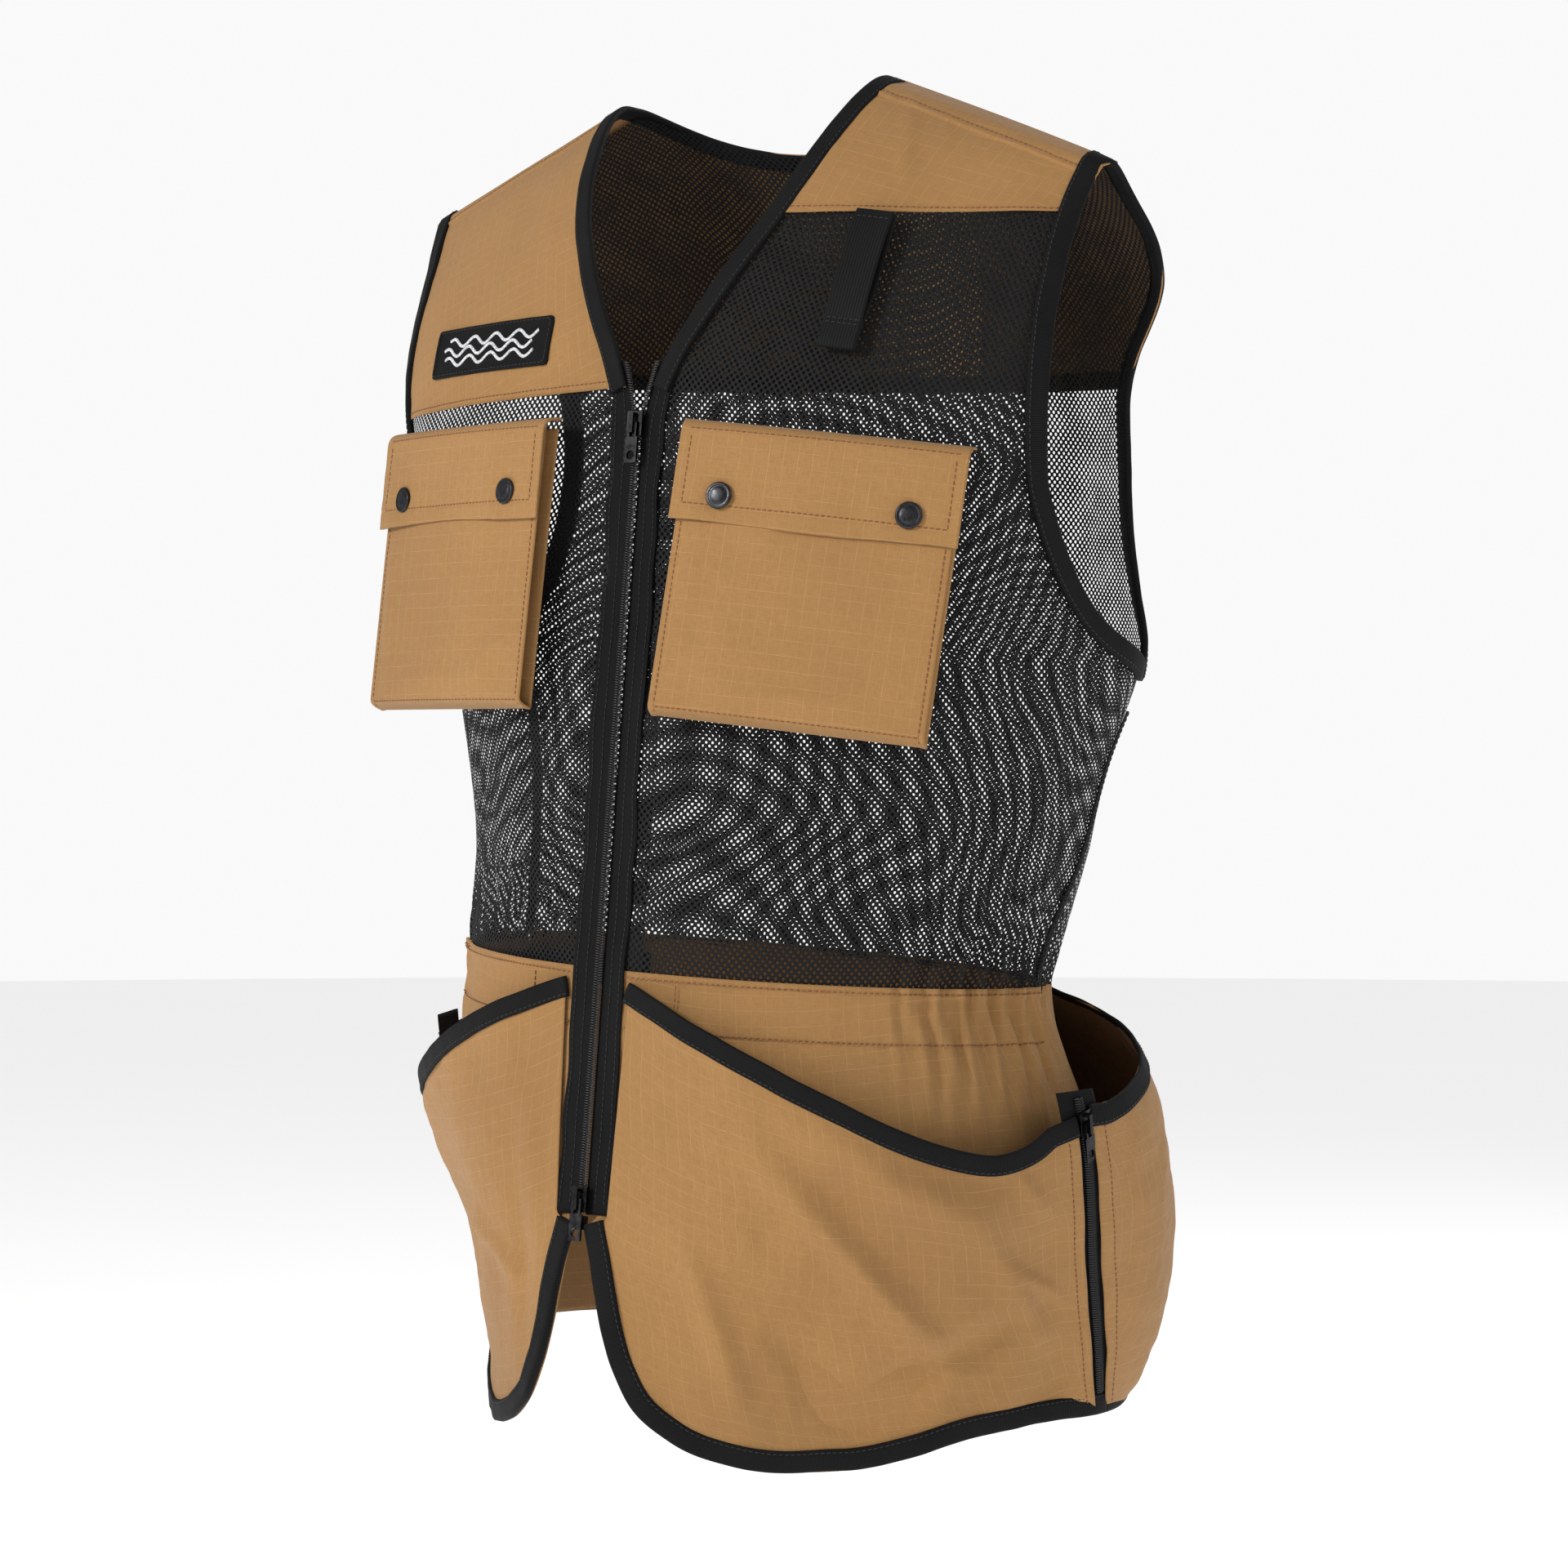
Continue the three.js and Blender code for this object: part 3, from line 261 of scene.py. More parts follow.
def cut_at(places, angle):
    kept = [p for p in places if p[0] < angle - 0.5]
    after = places[len(kept)]
    share = (angle - kept[-1][0]) / (after[0] - kept[-1][0])
    return np.array(kept + [(angle, kept[-1][1] + (after[1] - kept[-1][1]) * share)])


def front_edge_x(z):
    neck = np.where(z > ZIP_TOP, through(NECK_EDGE, z), NECK_EDGE[-1][1])
    return np.where(z > ZIP_TOP - 30, np.maximum(neck, SKIRT_EDGE), SKIRT_EDGE)


def arm_angle(z, back=False):
    return np.where(z > UNDERARM, through(ARM_BACK if back else ARM_FRONT, z), through(SIDE_SEAM, z))


HEM_PLACES = smooth_places([(float(angle_at_x(x, z)), z) for x, z in SLIT] + list(FRONT_HEM_EDGE), 120)
CORNER = int(np.argmax(HEM_PLACES[:, 1] < -690))
MOUTH_PLACES = smooth_places(POCKET_MOUTH, 90)
POUCH_PLACES = smooth_places(POUCH_MOUTH, 90)
ZIP_LINE = (belt(84, SIDE_ZIP_TOP), belt(90, HEM + 11.7))


def beside_zip(z, distance):
    """Angle of the cloth edge at a distance from the side zip, at a height."""
    share = (z - ZIP_LINE[0][2]) / (ZIP_LINE[1][2] - ZIP_LINE[0][2])
    p = ZIP_LINE[0] + (ZIP_LINE[1] - ZIP_LINE[0]) * np.asarray(share)[..., None]
    back = section("middle", z) - p[..., 1]
    return np.degrees(np.arctan2(p[..., 0], back) + distance / np.hypot(p[..., 0], back))


def rows(low, high, count):
    return np.linspace(low, high, count + 1)


def wander(points, scale, seed, octaves=3):
    """Smooth noise from -1 to 1 at each point, seeded and repeatable."""
    flat = points.reshape(-1, 3) / scale + seed * 17.3
    values = [noise.fractal(Vector(p), 0.7, 2.1, octaves, noise_basis="PERLIN_ORIGINAL") for p in flat]
    return np.array(values).reshape(points.shape[:-1])


def crease(points, start, end, width, height, sharp=2.0):
    """A soft ridge along a line between two points, fading at its ends."""
    a, b = np.array(start, float), np.array(end, float)
    t = np.clip(((points - a) @ (b - a)) / ((b - a) @ (b - a)), 0, 1)
    away = np.linalg.norm(points - (a + t[..., None] * (b - a)), axis=-1)
    return height * np.exp(-(away / width) ** sharp) * np.sin(np.pi * np.clip(t, 0.03, 0.97)) ** 0.6


# ---------- mesh helpers ----------
def settings():
    return bpy.context.scene.vest


def finish_piece(obj, body_name, replaced=()):
    obj.data.shade_smooth()
    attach(obj, body_name)
    if replaced:
        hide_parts(*replaced)
    return obj


def object_from(bm, name, materials):
    """A new object at the origin; the bmesh is in millimetres."""
    bmesh.ops.scale(bm, vec=(0.001, 0.001, 0.001), verts=bm.verts)
    mesh = bpy.data.meshes.new(name)
    bm.to_mesh(mesh)
    bm.free()
    for material in materials:
        mesh.materials.append(material)
    obj = bpy.data.objects.new(name, mesh)
    bpy.context.scene.collection.objects.link(obj)
    return obj


def grid_rows(bm, columns, lines):
    """A flat grid whose vertices are returned as an array of rows."""
    made = bmesh.ops.create_grid(bm, x_segments=columns, y_segments=lines, size=1.0)["verts"]
    across = sorted({round(v.co.x, 5) for v in made})
    up = sorted({round(v.co.y, 5) for v in made})
    place = {value: i for i, value in enumerate(across)}, {value: j for j, value in enumerate(up)}
    table = [[None] * len(across) for _ in up]
    for v in made:
        table[place[1][round(v.co.y, 5)]][place[0][round(v.co.x, 5)]] = v
    return table


def normals_of(p):
    """Outward normals of an array of rows of points."""
    return unit(np.cross(np.gradient(p, axis=1), np.gradient(p, axis=0)), 1e-9)


def surface_piece(name, points, materials, flat=None):
    """An object from rows of points, with a UV map in metres along the cloth."""
    bm = bmesh.new()
    lines, columns = points.shape[0] - 1, points.shape[1] - 1
    table = grid_rows(bm, columns, lines)
    uv = bm.loops.layers.uv.new("cloth")
    if flat is None:
        flat = flat_sizes(points)
    spot = {}
    for j, row in enumerate(table):
        for i, v in enumerate(row):
            v.co = points[j, i]
            spot[v] = flat[j, i]
    for face in bm.faces:
        for loop in face.loops:
            loop[uv].uv = spot[loop.vert]
    return object_from(bm, name, materials)


def flat_sizes(points):
    """Distance across and along the cloth in metres, counted from its middle row and column."""
    du = np.linalg.norm(np.diff(points, axis=1), axis=-1)
    dv = np.linalg.norm(np.diff(points, axis=0), axis=-1)
    u = np.concatenate([np.zeros((points.shape[0], 1)), np.cumsum(du, axis=1)], 1)
    v = np.concatenate([np.zeros((1, points.shape[1])), np.cumsum(dv, axis=0)], 0)
    mid_u, mid_v = points.shape[1] // 2, points.shape[0] // 2
    u = u - u[:, mid_u:mid_u + 1] + points[:, mid_u, 0].mean()
    v = v - v[mid_v:mid_v + 1] + points[mid_v, :, 2].mean()
    return np.stack([u, v], -1) * 0.001


def grid_uv(columns, lines):
    return np.meshgrid(rows(0, 1, columns), rows(0, 1, lines))


def thicken(obj, thickness, offset=-1.0, inner=0):
    cloth = obj.modifiers.new("Thickness", "SOLIDIFY")
    cloth.thickness = thickness * 0.001
    cloth.offset = offset
    cloth.material_offset = inner
    cloth.use_quality_normals = True


def hung_sheet(points):
    """Works out the areas of the cells that a hung cloth's rows of points make; the result is not kept."""
    cells = np.cross(points[:-1, 1:] - points[:-1, :-1], points[1:, :-1] - points[:-1, :-1])
    cells = np.linalg.norm(cells, axis=-1) + np.linalg.norm(
        np.cross(points[1:, :-1] - points[1:, 1:], points[:-1, 1:] - points[1:, 1:]), axis=-1)


def path_frame(surface, places, sign=1):
    """Points along an edge with the outward direction there."""
    angle, z = places[:, 0], places[:, 1]
    tiny = 0.02
    p = hung_side(surface(angle, z), sign)
    along = hung_side(surface(angle + tiny, z), sign) - hung_side(surface(angle - tiny, z), sign)
    up = hung_side(surface(angle, z + tiny), sign) - hung_side(surface(angle, z - tiny), sign)
    return p, unit(np.cross(along, up)) * sign


def hung_side(p, sign):
    p = np.array(p, float)
    p[..., 0] *= sign
    return hung(p)


def even(points, step, extra=None, loop=False):
    """Points spaced evenly along a line, with matching directions."""
    if loop:
        points = np.vstack([points, points[:1]])
        extra = None if extra is None else np.vstack([extra, extra[:1]])
    seg = np.linalg.norm(np.diff(points, axis=0), axis=1)
    keep = np.concatenate([[True], seg > 1e-6])
    points = points[keep]
    extra = None if extra is None else extra[keep]
    along = np.concatenate([[0], np.cumsum(np.linalg.norm(np.diff(points, axis=0), axis=1))])
    count = max(2, int(round(along[-1] / step)))
    t = np.linspace(0, along[-1], count + 1)
    new = np.stack([np.interp(t, along, points[:, k]) for k in range(3)], -1)
    if extra is None:
        return new, t
    turned = np.stack([np.interp(t, along, extra[:, k]) for k in range(3)], -1)
    return new, unit(turned), t


def relax(points, times):
    """Evens out a line of points, leaving its ends."""
    for _ in range(times):
        points[1:-1] = (points[:-2] + 2 * points[1:-1] + points[2:]) / 4
    return points


def swept(name, path, out, profile, materials, loop=False, wave=None, side=1):
    """A strip with a closed cross-section, given as (inward, outward) pairs, carried along a path."""
    tangent = np.gradient(path, axis=0)
    if loop:
        tangent = np.roll(path, -1, 0) - np.roll(path, 1, 0)
        tangent[0] = tangent[-1] = path[1] - path[-2]
    inward = unit(np.cross(out, tangent)) * side
    shape = np.array(profile + profile[:1], float)
    lengths = np.concatenate([[0], np.cumsum(np.linalg.norm(np.diff(shape, axis=0), axis=1))])
    across = np.repeat(shape[:, 0][:, None], len(path), 1)
    up = np.repeat(shape[:, 1][:, None], len(path), 1)
    if wave is not None:
        across = across + wave[0][None, :]
        up = up + wave[1][None, :]
    points = path[None] + inward[None] * across[..., None] + out[None] * up[..., None]
    run = np.concatenate([[0], np.cumsum(np.linalg.norm(np.diff(path, axis=0), axis=1))])
    flat = np.stack(np.broadcast_arrays(run[None, :], lengths[:, None]), -1) * 0.001
    if side < 0:
        points, flat = points[::-1], flat[::-1]
    obj = surface_piece(name, points, materials, flat)
    bm = bmesh.new()
    bm.from_mesh(obj.data)
    bmesh.ops.remove_doubles(bm, verts=bm.verts, dist=1e-6)
    open_edges = [e for e in bm.edges if e.is_boundary]
    if open_edges:
        bmesh.ops.holes_fill(bm, edges=open_edges, sides=0)
    bm.to_mesh(obj.data)
    bm.free()
    return obj


def stitch_shape(length, width):
    """One thread stitch, lying along X."""
    bm = bmesh.new()
    bmesh.ops.create_uvsphere(bm, u_segments=6, v_segments=4, radius=0.5)
    bmesh.ops.rotate(bm, verts=bm.verts, matrix=Matrix.Rotation(math.pi / 2, 3, "Y"))
    bmesh.ops.scale(bm, vec=(length, width, width * 0.8), verts=bm.verts)
    mesh = bpy.data.meshes.new("stitch")
    bm.to_mesh(mesh)
    bm.free()
    return mesh


def place_copies(name, shape, frames, materials):
    """One object holding a copy of a shape at each frame."""
    bm = bmesh.new()
    for matrix in frames:
        copy = shape.copy()
        copy.transform(matrix)
        bm.from_mesh(copy)
        bpy.data.meshes.remove(copy)
    return object_from(bm, name, materials)


def frame_from(x, y, z, at):
    """A 4 by 4 frame from its three directions and its place."""
    return Matrix([(x[k], y[k], z[k], at[k]) for k in range(3)] + [(0, 0, 0, 1)])


def along_frames(path, out, pitch, lift, tilt):
    """A frame for each stitch along a path: X along it, Z out of the cloth."""
    points, turned, _ = even(path, pitch, out)
    frames = []
    for a, b, n in zip(points[:-1], points[1:], turned[:-1]):
        x = Vector(b - a).normalized()
        z = Vector(n)
        y = z.cross(x).normalized()
        z = x.cross(y)
        turn = Matrix.Rotation(tilt, 3, z)
        x, y = turn @ x, turn @ y
        at = Vector((a + b) / 2) + z * lift
        frames.append(frame_from(x, y, z, at))
    return frames


def stitches(name, lines, material, body_name=ROOT):
    """Rows of thread stitches; each line is (points, outward directions)."""
    size = settings().stitch_length * 1000
    shape = stitch_shape(size * 0.8, settings().thread_width * 1000)
    frames = []
    for points, out in lines:
        frames += along_frames(np.array(points, float), np.array(out, float), size, 0.12, 0.06)
    obj = place_copies(name, shape, frames, [material])
    bpy.data.meshes.remove(shape)
    return finish_piece(obj, body_name)


def local_frame(origin, across, out):
    """A 4 by 4 frame: X across, Y out of the cloth, Z down the front."""
    x = Vector(across).normalized()
    z = x.cross(Vector(out)).normalized()
    y = z.cross(x)
    return frame_from(x, y, z, origin)


def to_world(matrix, points):
    m = np.array(matrix)
    return points @ m[:3, :3].T + m[:3, 3]


# ---------- finishes ----------
class Graph:
    """A material and short ways to add its nodes."""

    def __init__(self, name):
        self.material = bpy.data.materials.new(name)
        self.material.use_nodes = True
        self.tree = self.material.node_tree
        self.shader = self.tree.nodes["Principled BSDF"]

    def add(self, kind, **options):
        node = self.tree.nodes.new(kind)
        for key, value in options.items():
            setattr(node, key, value)
        return node

    def put(self, value, socket):
        if hasattr(value, "links"):
            self.tree.links.new(value, socket)
        else:
            socket.default_value = value

    def calc(self, operation, *values):
        node = self.add("ShaderNodeMath", operation=operation)
        for value, socket in zip(values, node.inputs):
            self.put(value, socket)
        return node.outputs[0]

    def remap(self, value, low, high, to_low=0.0, to_high=1.0):
        node = self.add("ShaderNodeMapRange", interpolation_type="SMOOTHSTEP")
        for key, item in (("Value", value), ("From Min", low), ("From Max", high), ("To Min", to_low),
                          ("To Max", to_high)):
            self.put(item, node.inputs[key])
        return node.outputs["Result"]

    def blend(self, share, first, second):
        node = self.add("ShaderNodeMix", data_type="RGBA")
        self.put(share, node.inputs["Factor"])
        self.put(first, node.inputs[6])
        self.put(second, node.inputs[7])
        return node.outputs[2]

    def total(self, *parts):
        """The sum of values, each with its weight."""
        weighed = [value if weight == 1 else self.calc("MULTIPLY", value, weight) for value, weight in parts]
        total = weighed[0]
        for value in weighed[1:]:
            total = self.calc("ADD", total, value)
        return total

    def tones(self, share, colour, dark, light):
        """Base colour between two tones of one colour."""
        mixed = self.blend(share, shade(colour, dark), shade(colour, light))
        self.put(mixed, self.shader.inputs["Base Color"])

    def roughness(self, value, low, high, smooth, rough):
        self.put(self.remap(value, low, high, smooth, rough), self.shader.inputs["Roughness"])

    def cloth(self):
        """The cloth's map, and the distances across and along it in metres."""
        node = self.add("ShaderNodeUVMap", uv_map="cloth")
        parts = self.add("ShaderNodeSeparateXYZ")
        self.tree.links.new(node.outputs[0], parts.inputs[0])
        return node.outputs[0], parts.outputs[0], parts.outputs[1]

    def place(self):
        return self.add("ShaderNodeTexCoord").outputs["Object"]

    def grain(self, vector, scale, detail=2.0, stretch=(1, 1, 1)):
        mapping = self.add("ShaderNodeMapping")
        mapping.inputs["Scale"].default_value = stretch
        self.tree.links.new(vector, mapping.inputs["Vector"])
        node = self.add("ShaderNodeTexNoise")
        node.inputs["Scale"].default_value = scale
        node.inputs["Detail"].default_value = detail
        self.tree.links.new(mapping.outputs[0], node.inputs["Vector"])
        return node.outputs["Fac"]

    def bump(self, height, distance, strength=1.0):
        node = self.add("ShaderNodeBump")
        node.inputs["Distance"].default_value = distance
        node.inputs["Strength"].default_value = strength
        self.tree.links.new(height, node.inputs["Height"])
        self.tree.links.new(node.outputs[0], self.shader.inputs["Normal"])

    def fixed(self, **values):
        for key, value in values.items():
            self.shader.inputs[key.replace("_", " ").title().replace("Ior", "IOR")].default_value = value
        return self


def shade(colour, share):
    return (colour[0] * share, colour[1] * share, colour[2] * share, 1.0)


def line_mask(g, coordinate, pitch, width):
    """Thin lines at a pitch along one direction."""
    inside = g.calc("FRACT", g.calc("DIVIDE", coordinate, pitch))
    away = g.calc("ABSOLUTE", g.calc("SUBTRACT", inside, 0.5))
    return g.remap(away, 0.0, width / pitch, 1.0, 0.0)


def ripstop(name, share=1.0):
    """Plain-weave cloth with a grid of thicker threads."""
    s = settings()
    g = Graph(name)
    uv, u, v = g.cloth()
    colour = s.cloth_colour
    broken = g.remap(g.grain(uv, 40.0, 1.0), 0.35, 0.65, 0.25, 0.9)
    thick = 0.00036
    warp = g.calc("MULTIPLY", line_mask(g, u, s.ripstop_pitch, thick), broken)
    weft = g.calc("MULTIPLY", line_mask(g, v, s.ripstop_pitch, thick), g.calc("SUBTRACT", 1.15, broken))
    grid = g.calc("MAXIMUM", warp, weft)
    slub = g.grain(uv, 1.0, 2.0, (180, 1700, 1))
    threads = g.grain(uv, 1.0, 2.0, (1500, 220, 1))
    cloudy = g.grain(g.place(), 7.0, 3.0)
    # share scales every tone of the cloth; below 1 it darkens the whole cloth as painted shade.
    base = g.blend(g.remap(cloudy, 0.3, 0.7), shade(colour, 0.9 * share), shade(colour, 1.07 * share))
    woven = g.total((slub, 0.5), (threads, 0.5))
    base = g.blend(g.remap(woven, 0.42, 0.62, 0.0, 0.4), base, shade(colour, 0.78 * share))
    light = [min(1, part * more * share) for part, more in zip(colour, (1.5, 1.65, 2.0))] + [1]
    base = g.blend(g.calc("MULTIPLY", grid, 0.5), base, light)
    g.put(base, g.shader.inputs["Base Color"])
    g.roughness(woven, 0.35, 0.65, 0.66, 0.84)
    turns = 2 * math.pi / 0.00062
    weave = g.calc("MULTIPLY", *(g.calc("SINE", g.calc("MULTIPLY", c, turns)) for c in (u, v)))
    g.bump(g.total((weave, 0.2), (grid, 0.8), (woven, 1.0)), 0.00014)
    return g.fixed(sheen_weight=0.12, sheen_roughness=0.5, specular_ior_level=0.25).material


def open_mesh(name):
    """Knitted mesh: two offset rows of holes, cut out by its alpha."""
    s = settings()
    g = Graph(name)
    uv, u, v = g.cloth()
    across, along = s.hole_pitch, s.hole_pitch * 1.06
    spread = []
    for shift in (0.0, 0.5):
        parts = []
        for coordinate, pitch in ((u, across), (v, along)):
            cell = g.calc("FRACT", g.calc("ADD", g.calc("DIVIDE", coordinate, pitch), shift))
            parts.append(g.calc("MULTIPLY", g.calc("SUBTRACT", cell, 0.5), pitch))
        squared = [g.calc("POWER", g.calc("ABSOLUTE", part), 2.0) for part in parts]
        spread.append(g.calc("SQRT", g.total((squared[0], 1.15), (squared[1], 1.0))))
    away = g.calc("MINIMUM", *spread)
    radius = g.remap(g.grain(g.place(), 60.0, 1.0), 0.3, 0.7, s.hole_size * 0.46, s.hole_size * 0.54)
    g.put(g.calc("GREATER_THAN", away, radius), g.shader.inputs["Alpha"])
    strand = g.remap(g.calc("SUBTRACT", away, radius), 0.0, 0.0006)
    twist = g.grain(uv, 1.0, 2.0, (2200, 900, 1))
    rise = g.total((strand, 0.7), (twist, 0.5))
    g.tones(g.remap(rise, 0.3, 1.1), s.trim_colour, 0.7, 1.7)
    g.roughness(twist, 0.3, 0.7, 0.6, 0.8)
    g.bump(rise, 0.00022)
    return g.fixed(sheen_weight=0.03, sheen_roughness=0.4, specular_ior_level=0.22).material


def ribbed(name, pitch, share=1.0, twill=0.0):
    """Tape with ribs across its length, or slanting ones where twill is set."""
    s = settings()
    g = Graph(name)
    uv, u, v = g.cloth()
    run = g.calc("ADD", u, g.calc("MULTIPLY", v, twill))
    rib = g.calc("ABSOLUTE", g.calc("SINE", g.calc("MULTIPLY", run, math.pi / pitch)))
    fuzz = g.grain(uv, 1.0, 2.0, (1800, 1800, 1))
    worn = g.grain(g.place(), 25.0, 2.0)
    rise = g.total((rib, 0.8), (fuzz, 0.4))
    g.tones(g.remap(g.total((rise, 0.7), (worn, 0.5)), 0.35, 1.2), s.trim_colour, 0.55 * share, 1.9 * share)
    g.roughness(fuzz, 0.3, 0.7, 0.55, 0.78)
    g.bump(rise, 0.00018)
    return g.fixed(sheen_weight=0.015, sheen_roughness=0.45, specular_ior_level=0.13).material


def thread(name, colour):
    g = Graph(name)
    twist = g.grain(g.place(), 900.0, 1.0)
    g.tones(g.remap(twist, 0.35, 0.65), colour, 0.75, 1.25)
    g.roughness(twist, 0.35, 0.65, 0.5, 0.7)
    g.bump(twist, 0.0001)
    return g.fixed(specular_ior_level=0.4).material


def polished(name, colour, roughness):
    """Plated metal with fine scratches and a patchy tone."""
    g = Graph(name)
    place = g.place()
    scratch = g.grain(place, 400.0, 3.0, (1, 6, 1))
    patina = g.grain(place, 120.0, 2.0)
    g.tones(g.remap(patina, 0.35, 0.7), colour, 0.75, 1.3)
    g.roughness(scratch, 0.3, 0.7, roughness * 0.75, roughness * 1.35)
    g.bump(scratch, 0.00003, 0.6)
    return g.fixed(metallic=1.0).material


def nylon(name, colour):
    g = Graph(name)
    fleck = g.grain(g.place(), 700.0, 2.0)
    g.tones(g.remap(fleck, 0.3, 0.7), colour, 0.8, 1.4)
    g.roughness(fleck, 0.3, 0.7, 0.28, 0.42)
    g.bump(fleck, 0.00004)
    return g.fixed(specular_ior_level=0.5).material


def studio_floor(name):
    g = Graph(name)
    soft = g.grain(g.place(), 3.0, 2.0)
    g.put(g.blend(soft, (0.9, 0.9, 0.9, 1), (0.93, 0.93, 0.925, 1)), g.shader.inputs["Base Color"])
    g.shader.inputs["Emission Color"].default_value = (1, 1, 1, 1)
    return g.fixed(roughness=0.9, specular_ior_level=0.1, emission_strength=0.55).material


FINISHES = {}


def finish_of(name):
    """The named finish, made the first time it is asked for."""
    if name not in FINISHES:
        s = settings()
        makers = {
            "ripstop": lambda: ripstop("Ripstop cloth"),
            # The inner side of the cloth is the same ripstop at 0.55 of its colour; this darkness is painted
            # shade.
            "inside_painted_shade": lambda: ripstop("Ripstop inside in painted shade", 0.55),
            "mesh": lambda: open_mesh("Open mesh"),
            "binding": lambda: ribbed("Grosgrain binding", s.rib_pitch),
            "webbing": lambda: ribbed("Flat webbing", 0.0016, 1.1),
            "tape": lambda: ribbed("Zip tape", 0.0009, 0.9, 0.7),
            "patch": lambda: ribbed("Patch twill", 0.0011, 0.9, 1.0),
            "thread": lambda: thread("Tan thread", s.thread_colour),
            "black thread": lambda: thread("Black thread", (0.02, 0.02, 0.021)),
            "white thread": lambda: thread("White thread", (0.72, 0.74, 0.76)),
            "gunmetal": lambda: polished("Gunmetal", (0.05, 0.051, 0.055), 0.34),
            "black metal": lambda: polished("Black plated metal", (0.03, 0.03, 0.032), 0.32),
            "nylon": lambda: nylon("Nylon coil", (0.014, 0.014, 0.015)),
        }
        FINISHES[name] = makers[name]()
    return FINISHES[name]


# ---------- shared shapes ----------
def folded_profile(width, half=1.3):
    """Cross-section of a tape folded over a cloth edge, as (inward, outward) pairs."""
    w, h = width, half
    return [(w, h * 0.6), (w - 0.4, h * 0.85), (w * 0.66, h * 0.93), (w * 0.33, h), (0.8, h),
            (-0.3, h * 0.75), (-0.7, 0.0), (-0.3, -h * 0.75), (0.8, -h), (w * 0.5, -h),
            (w - 0.4, -h * 0.85), (w, -h * 0.6)]


def binding(name, path, out, width, side, loop, seed, ripple, lift=0.0, half=1.3):
    """A folded tape along an edge, with its cloth to the left of the path; returns its stitch line."""
    points, turned, along = even(path + out * lift, 2.2, out, loop)
    points = relax(points, 2)
    base = np.stack([along / 22.0, np.full_like(along, seed * 3.1), np.zeros_like(along)], -1)
    flutter = wander(base, 1.0, seed, 2) * ripple
    sway = wander(base * 0.6, 1.0, seed + 5, 2) * ripple * 1.4
    obj = swept(name, points, turned, folded_profile(width, half), [finish_of("binding")], loop,
                (sway, flutter), side)
    finish_piece(obj, ROOT, (name.replace("tape", "binding"),))
    tangent = np.gradient(points, axis=0)
    inward = unit(np.cross(turned, tangent)) * side
    row = points + inward * (width - 1.6 + sway[:, None]) + turned * (half * 0.85 + flutter[:, None])
    return row, turned


def quilted_rise(distance, width=1.6, depth=0.35):
    """How much cloth dips at a seam that lies a distance away."""
    return -depth * np.exp(-(distance / width) ** 2)


def cloth_piece(name, points, finishes, replaced=(), thick=0.0, hangs=True):
    """A cloth on the vest from rows of points; a second finish is for its inner side."""
    obj = surface_piece(name, points, [finish_of(item) for item in finishes])
    if thick:
        thicken(obj, thick, inner=len(finishes) - 1)
    finish_piece(obj, ROOT, replaced)
    if hangs:
        hung_sheet(points)
    return obj


def cloth_panel(name, places, surface, grid, finishes, replaced, shape, sign=1, thick=0.0):
    """A cloth panel laid over a surface, with its own folds; returns its rows of points."""
    u, v = grid_uv(*grid)
    at = places(u, v)
    points = hung_side(surface(at[..., 0], at[..., 1]), sign)
    out = normals_of(points) * sign
    points = points + out * shape(points, at, u, v)[..., None]
    if sign < 0:
        points = points[:, ::-1]
    cloth_piece(name, points, finishes, replaced, thick)
    return points


def seam_row(points, column):
    """The row of a cloth that the seam along its lower edge follows."""
    along = np.linalg.norm(points[1:, column] - points[:-1, column], axis=-1).cumsum()
    return int(np.searchsorted(along, SEAM_ROW)) + 1


def ribbon(half, crown, edge, top, under):
    """Cross-section of a flat strip with a raised middle."""
    return [(half, edge), (crown, top), (-crown, top), (-half, edge), (-half, under), (half, under)]


# ---------- settings ----------
def colour(name, words, value):
    return bpy.props.FloatVectorProperty(name=name, description=words, default=value, subtype="COLOR",
                                         min=0, max=1)


def size(name, words, value):
    return bpy.props.FloatProperty(name=name, description=words, default=value, unit="LENGTH", precision=5)


class VestSettings(bpy.types.PropertyGroup):
    cloth_colour: colour("Cloth colour", "Colour of the ripstop cloth", (0.42, 0.222, 0.078))
    trim_colour: colour("Trim colour", "Colour of the mesh and the tapes", (0.0066, 0.0067, 0.0072))
    thread_colour: colour("Thread colour", "Colour of the stitching", (0.25, 0.1, 0.045))
    hole_pitch: size("Hole pitch", "Distance between holes of the mesh in a row", 0.0038)
    hole_size: size("Hole size", "Width of one hole of the mesh", 0.00172)
    ripstop_pitch: size("Ripstop pitch", "Distance between the thicker threads", 0.0078)
    rib_pitch: size("Rib pitch", "Distance between the ribs of the binding", 0.0011)
    stitch_length: size("Stitch length", "Length of one stitch with its gap", 0.0031)
    thread_width: size("Thread width", "Width of the sewing thread", 0.0008)
    binding_width: size("Binding width", "Width of the folded edge tape", 0.0108)
    fold_depth: bpy.props.FloatProperty(name="Fold depth", description="How deep the folds of the cloth are",
                                        default=1.0, min=0, max=2, subtype="FACTOR")


class PieceOperator(bpy.types.Operator):
    """Shared words of the operators that make pieces."""

    bl_idname = "vest.piece"
    bl_label = "Vest piece"
    bl_options = {"REGISTER", "UNDO"}


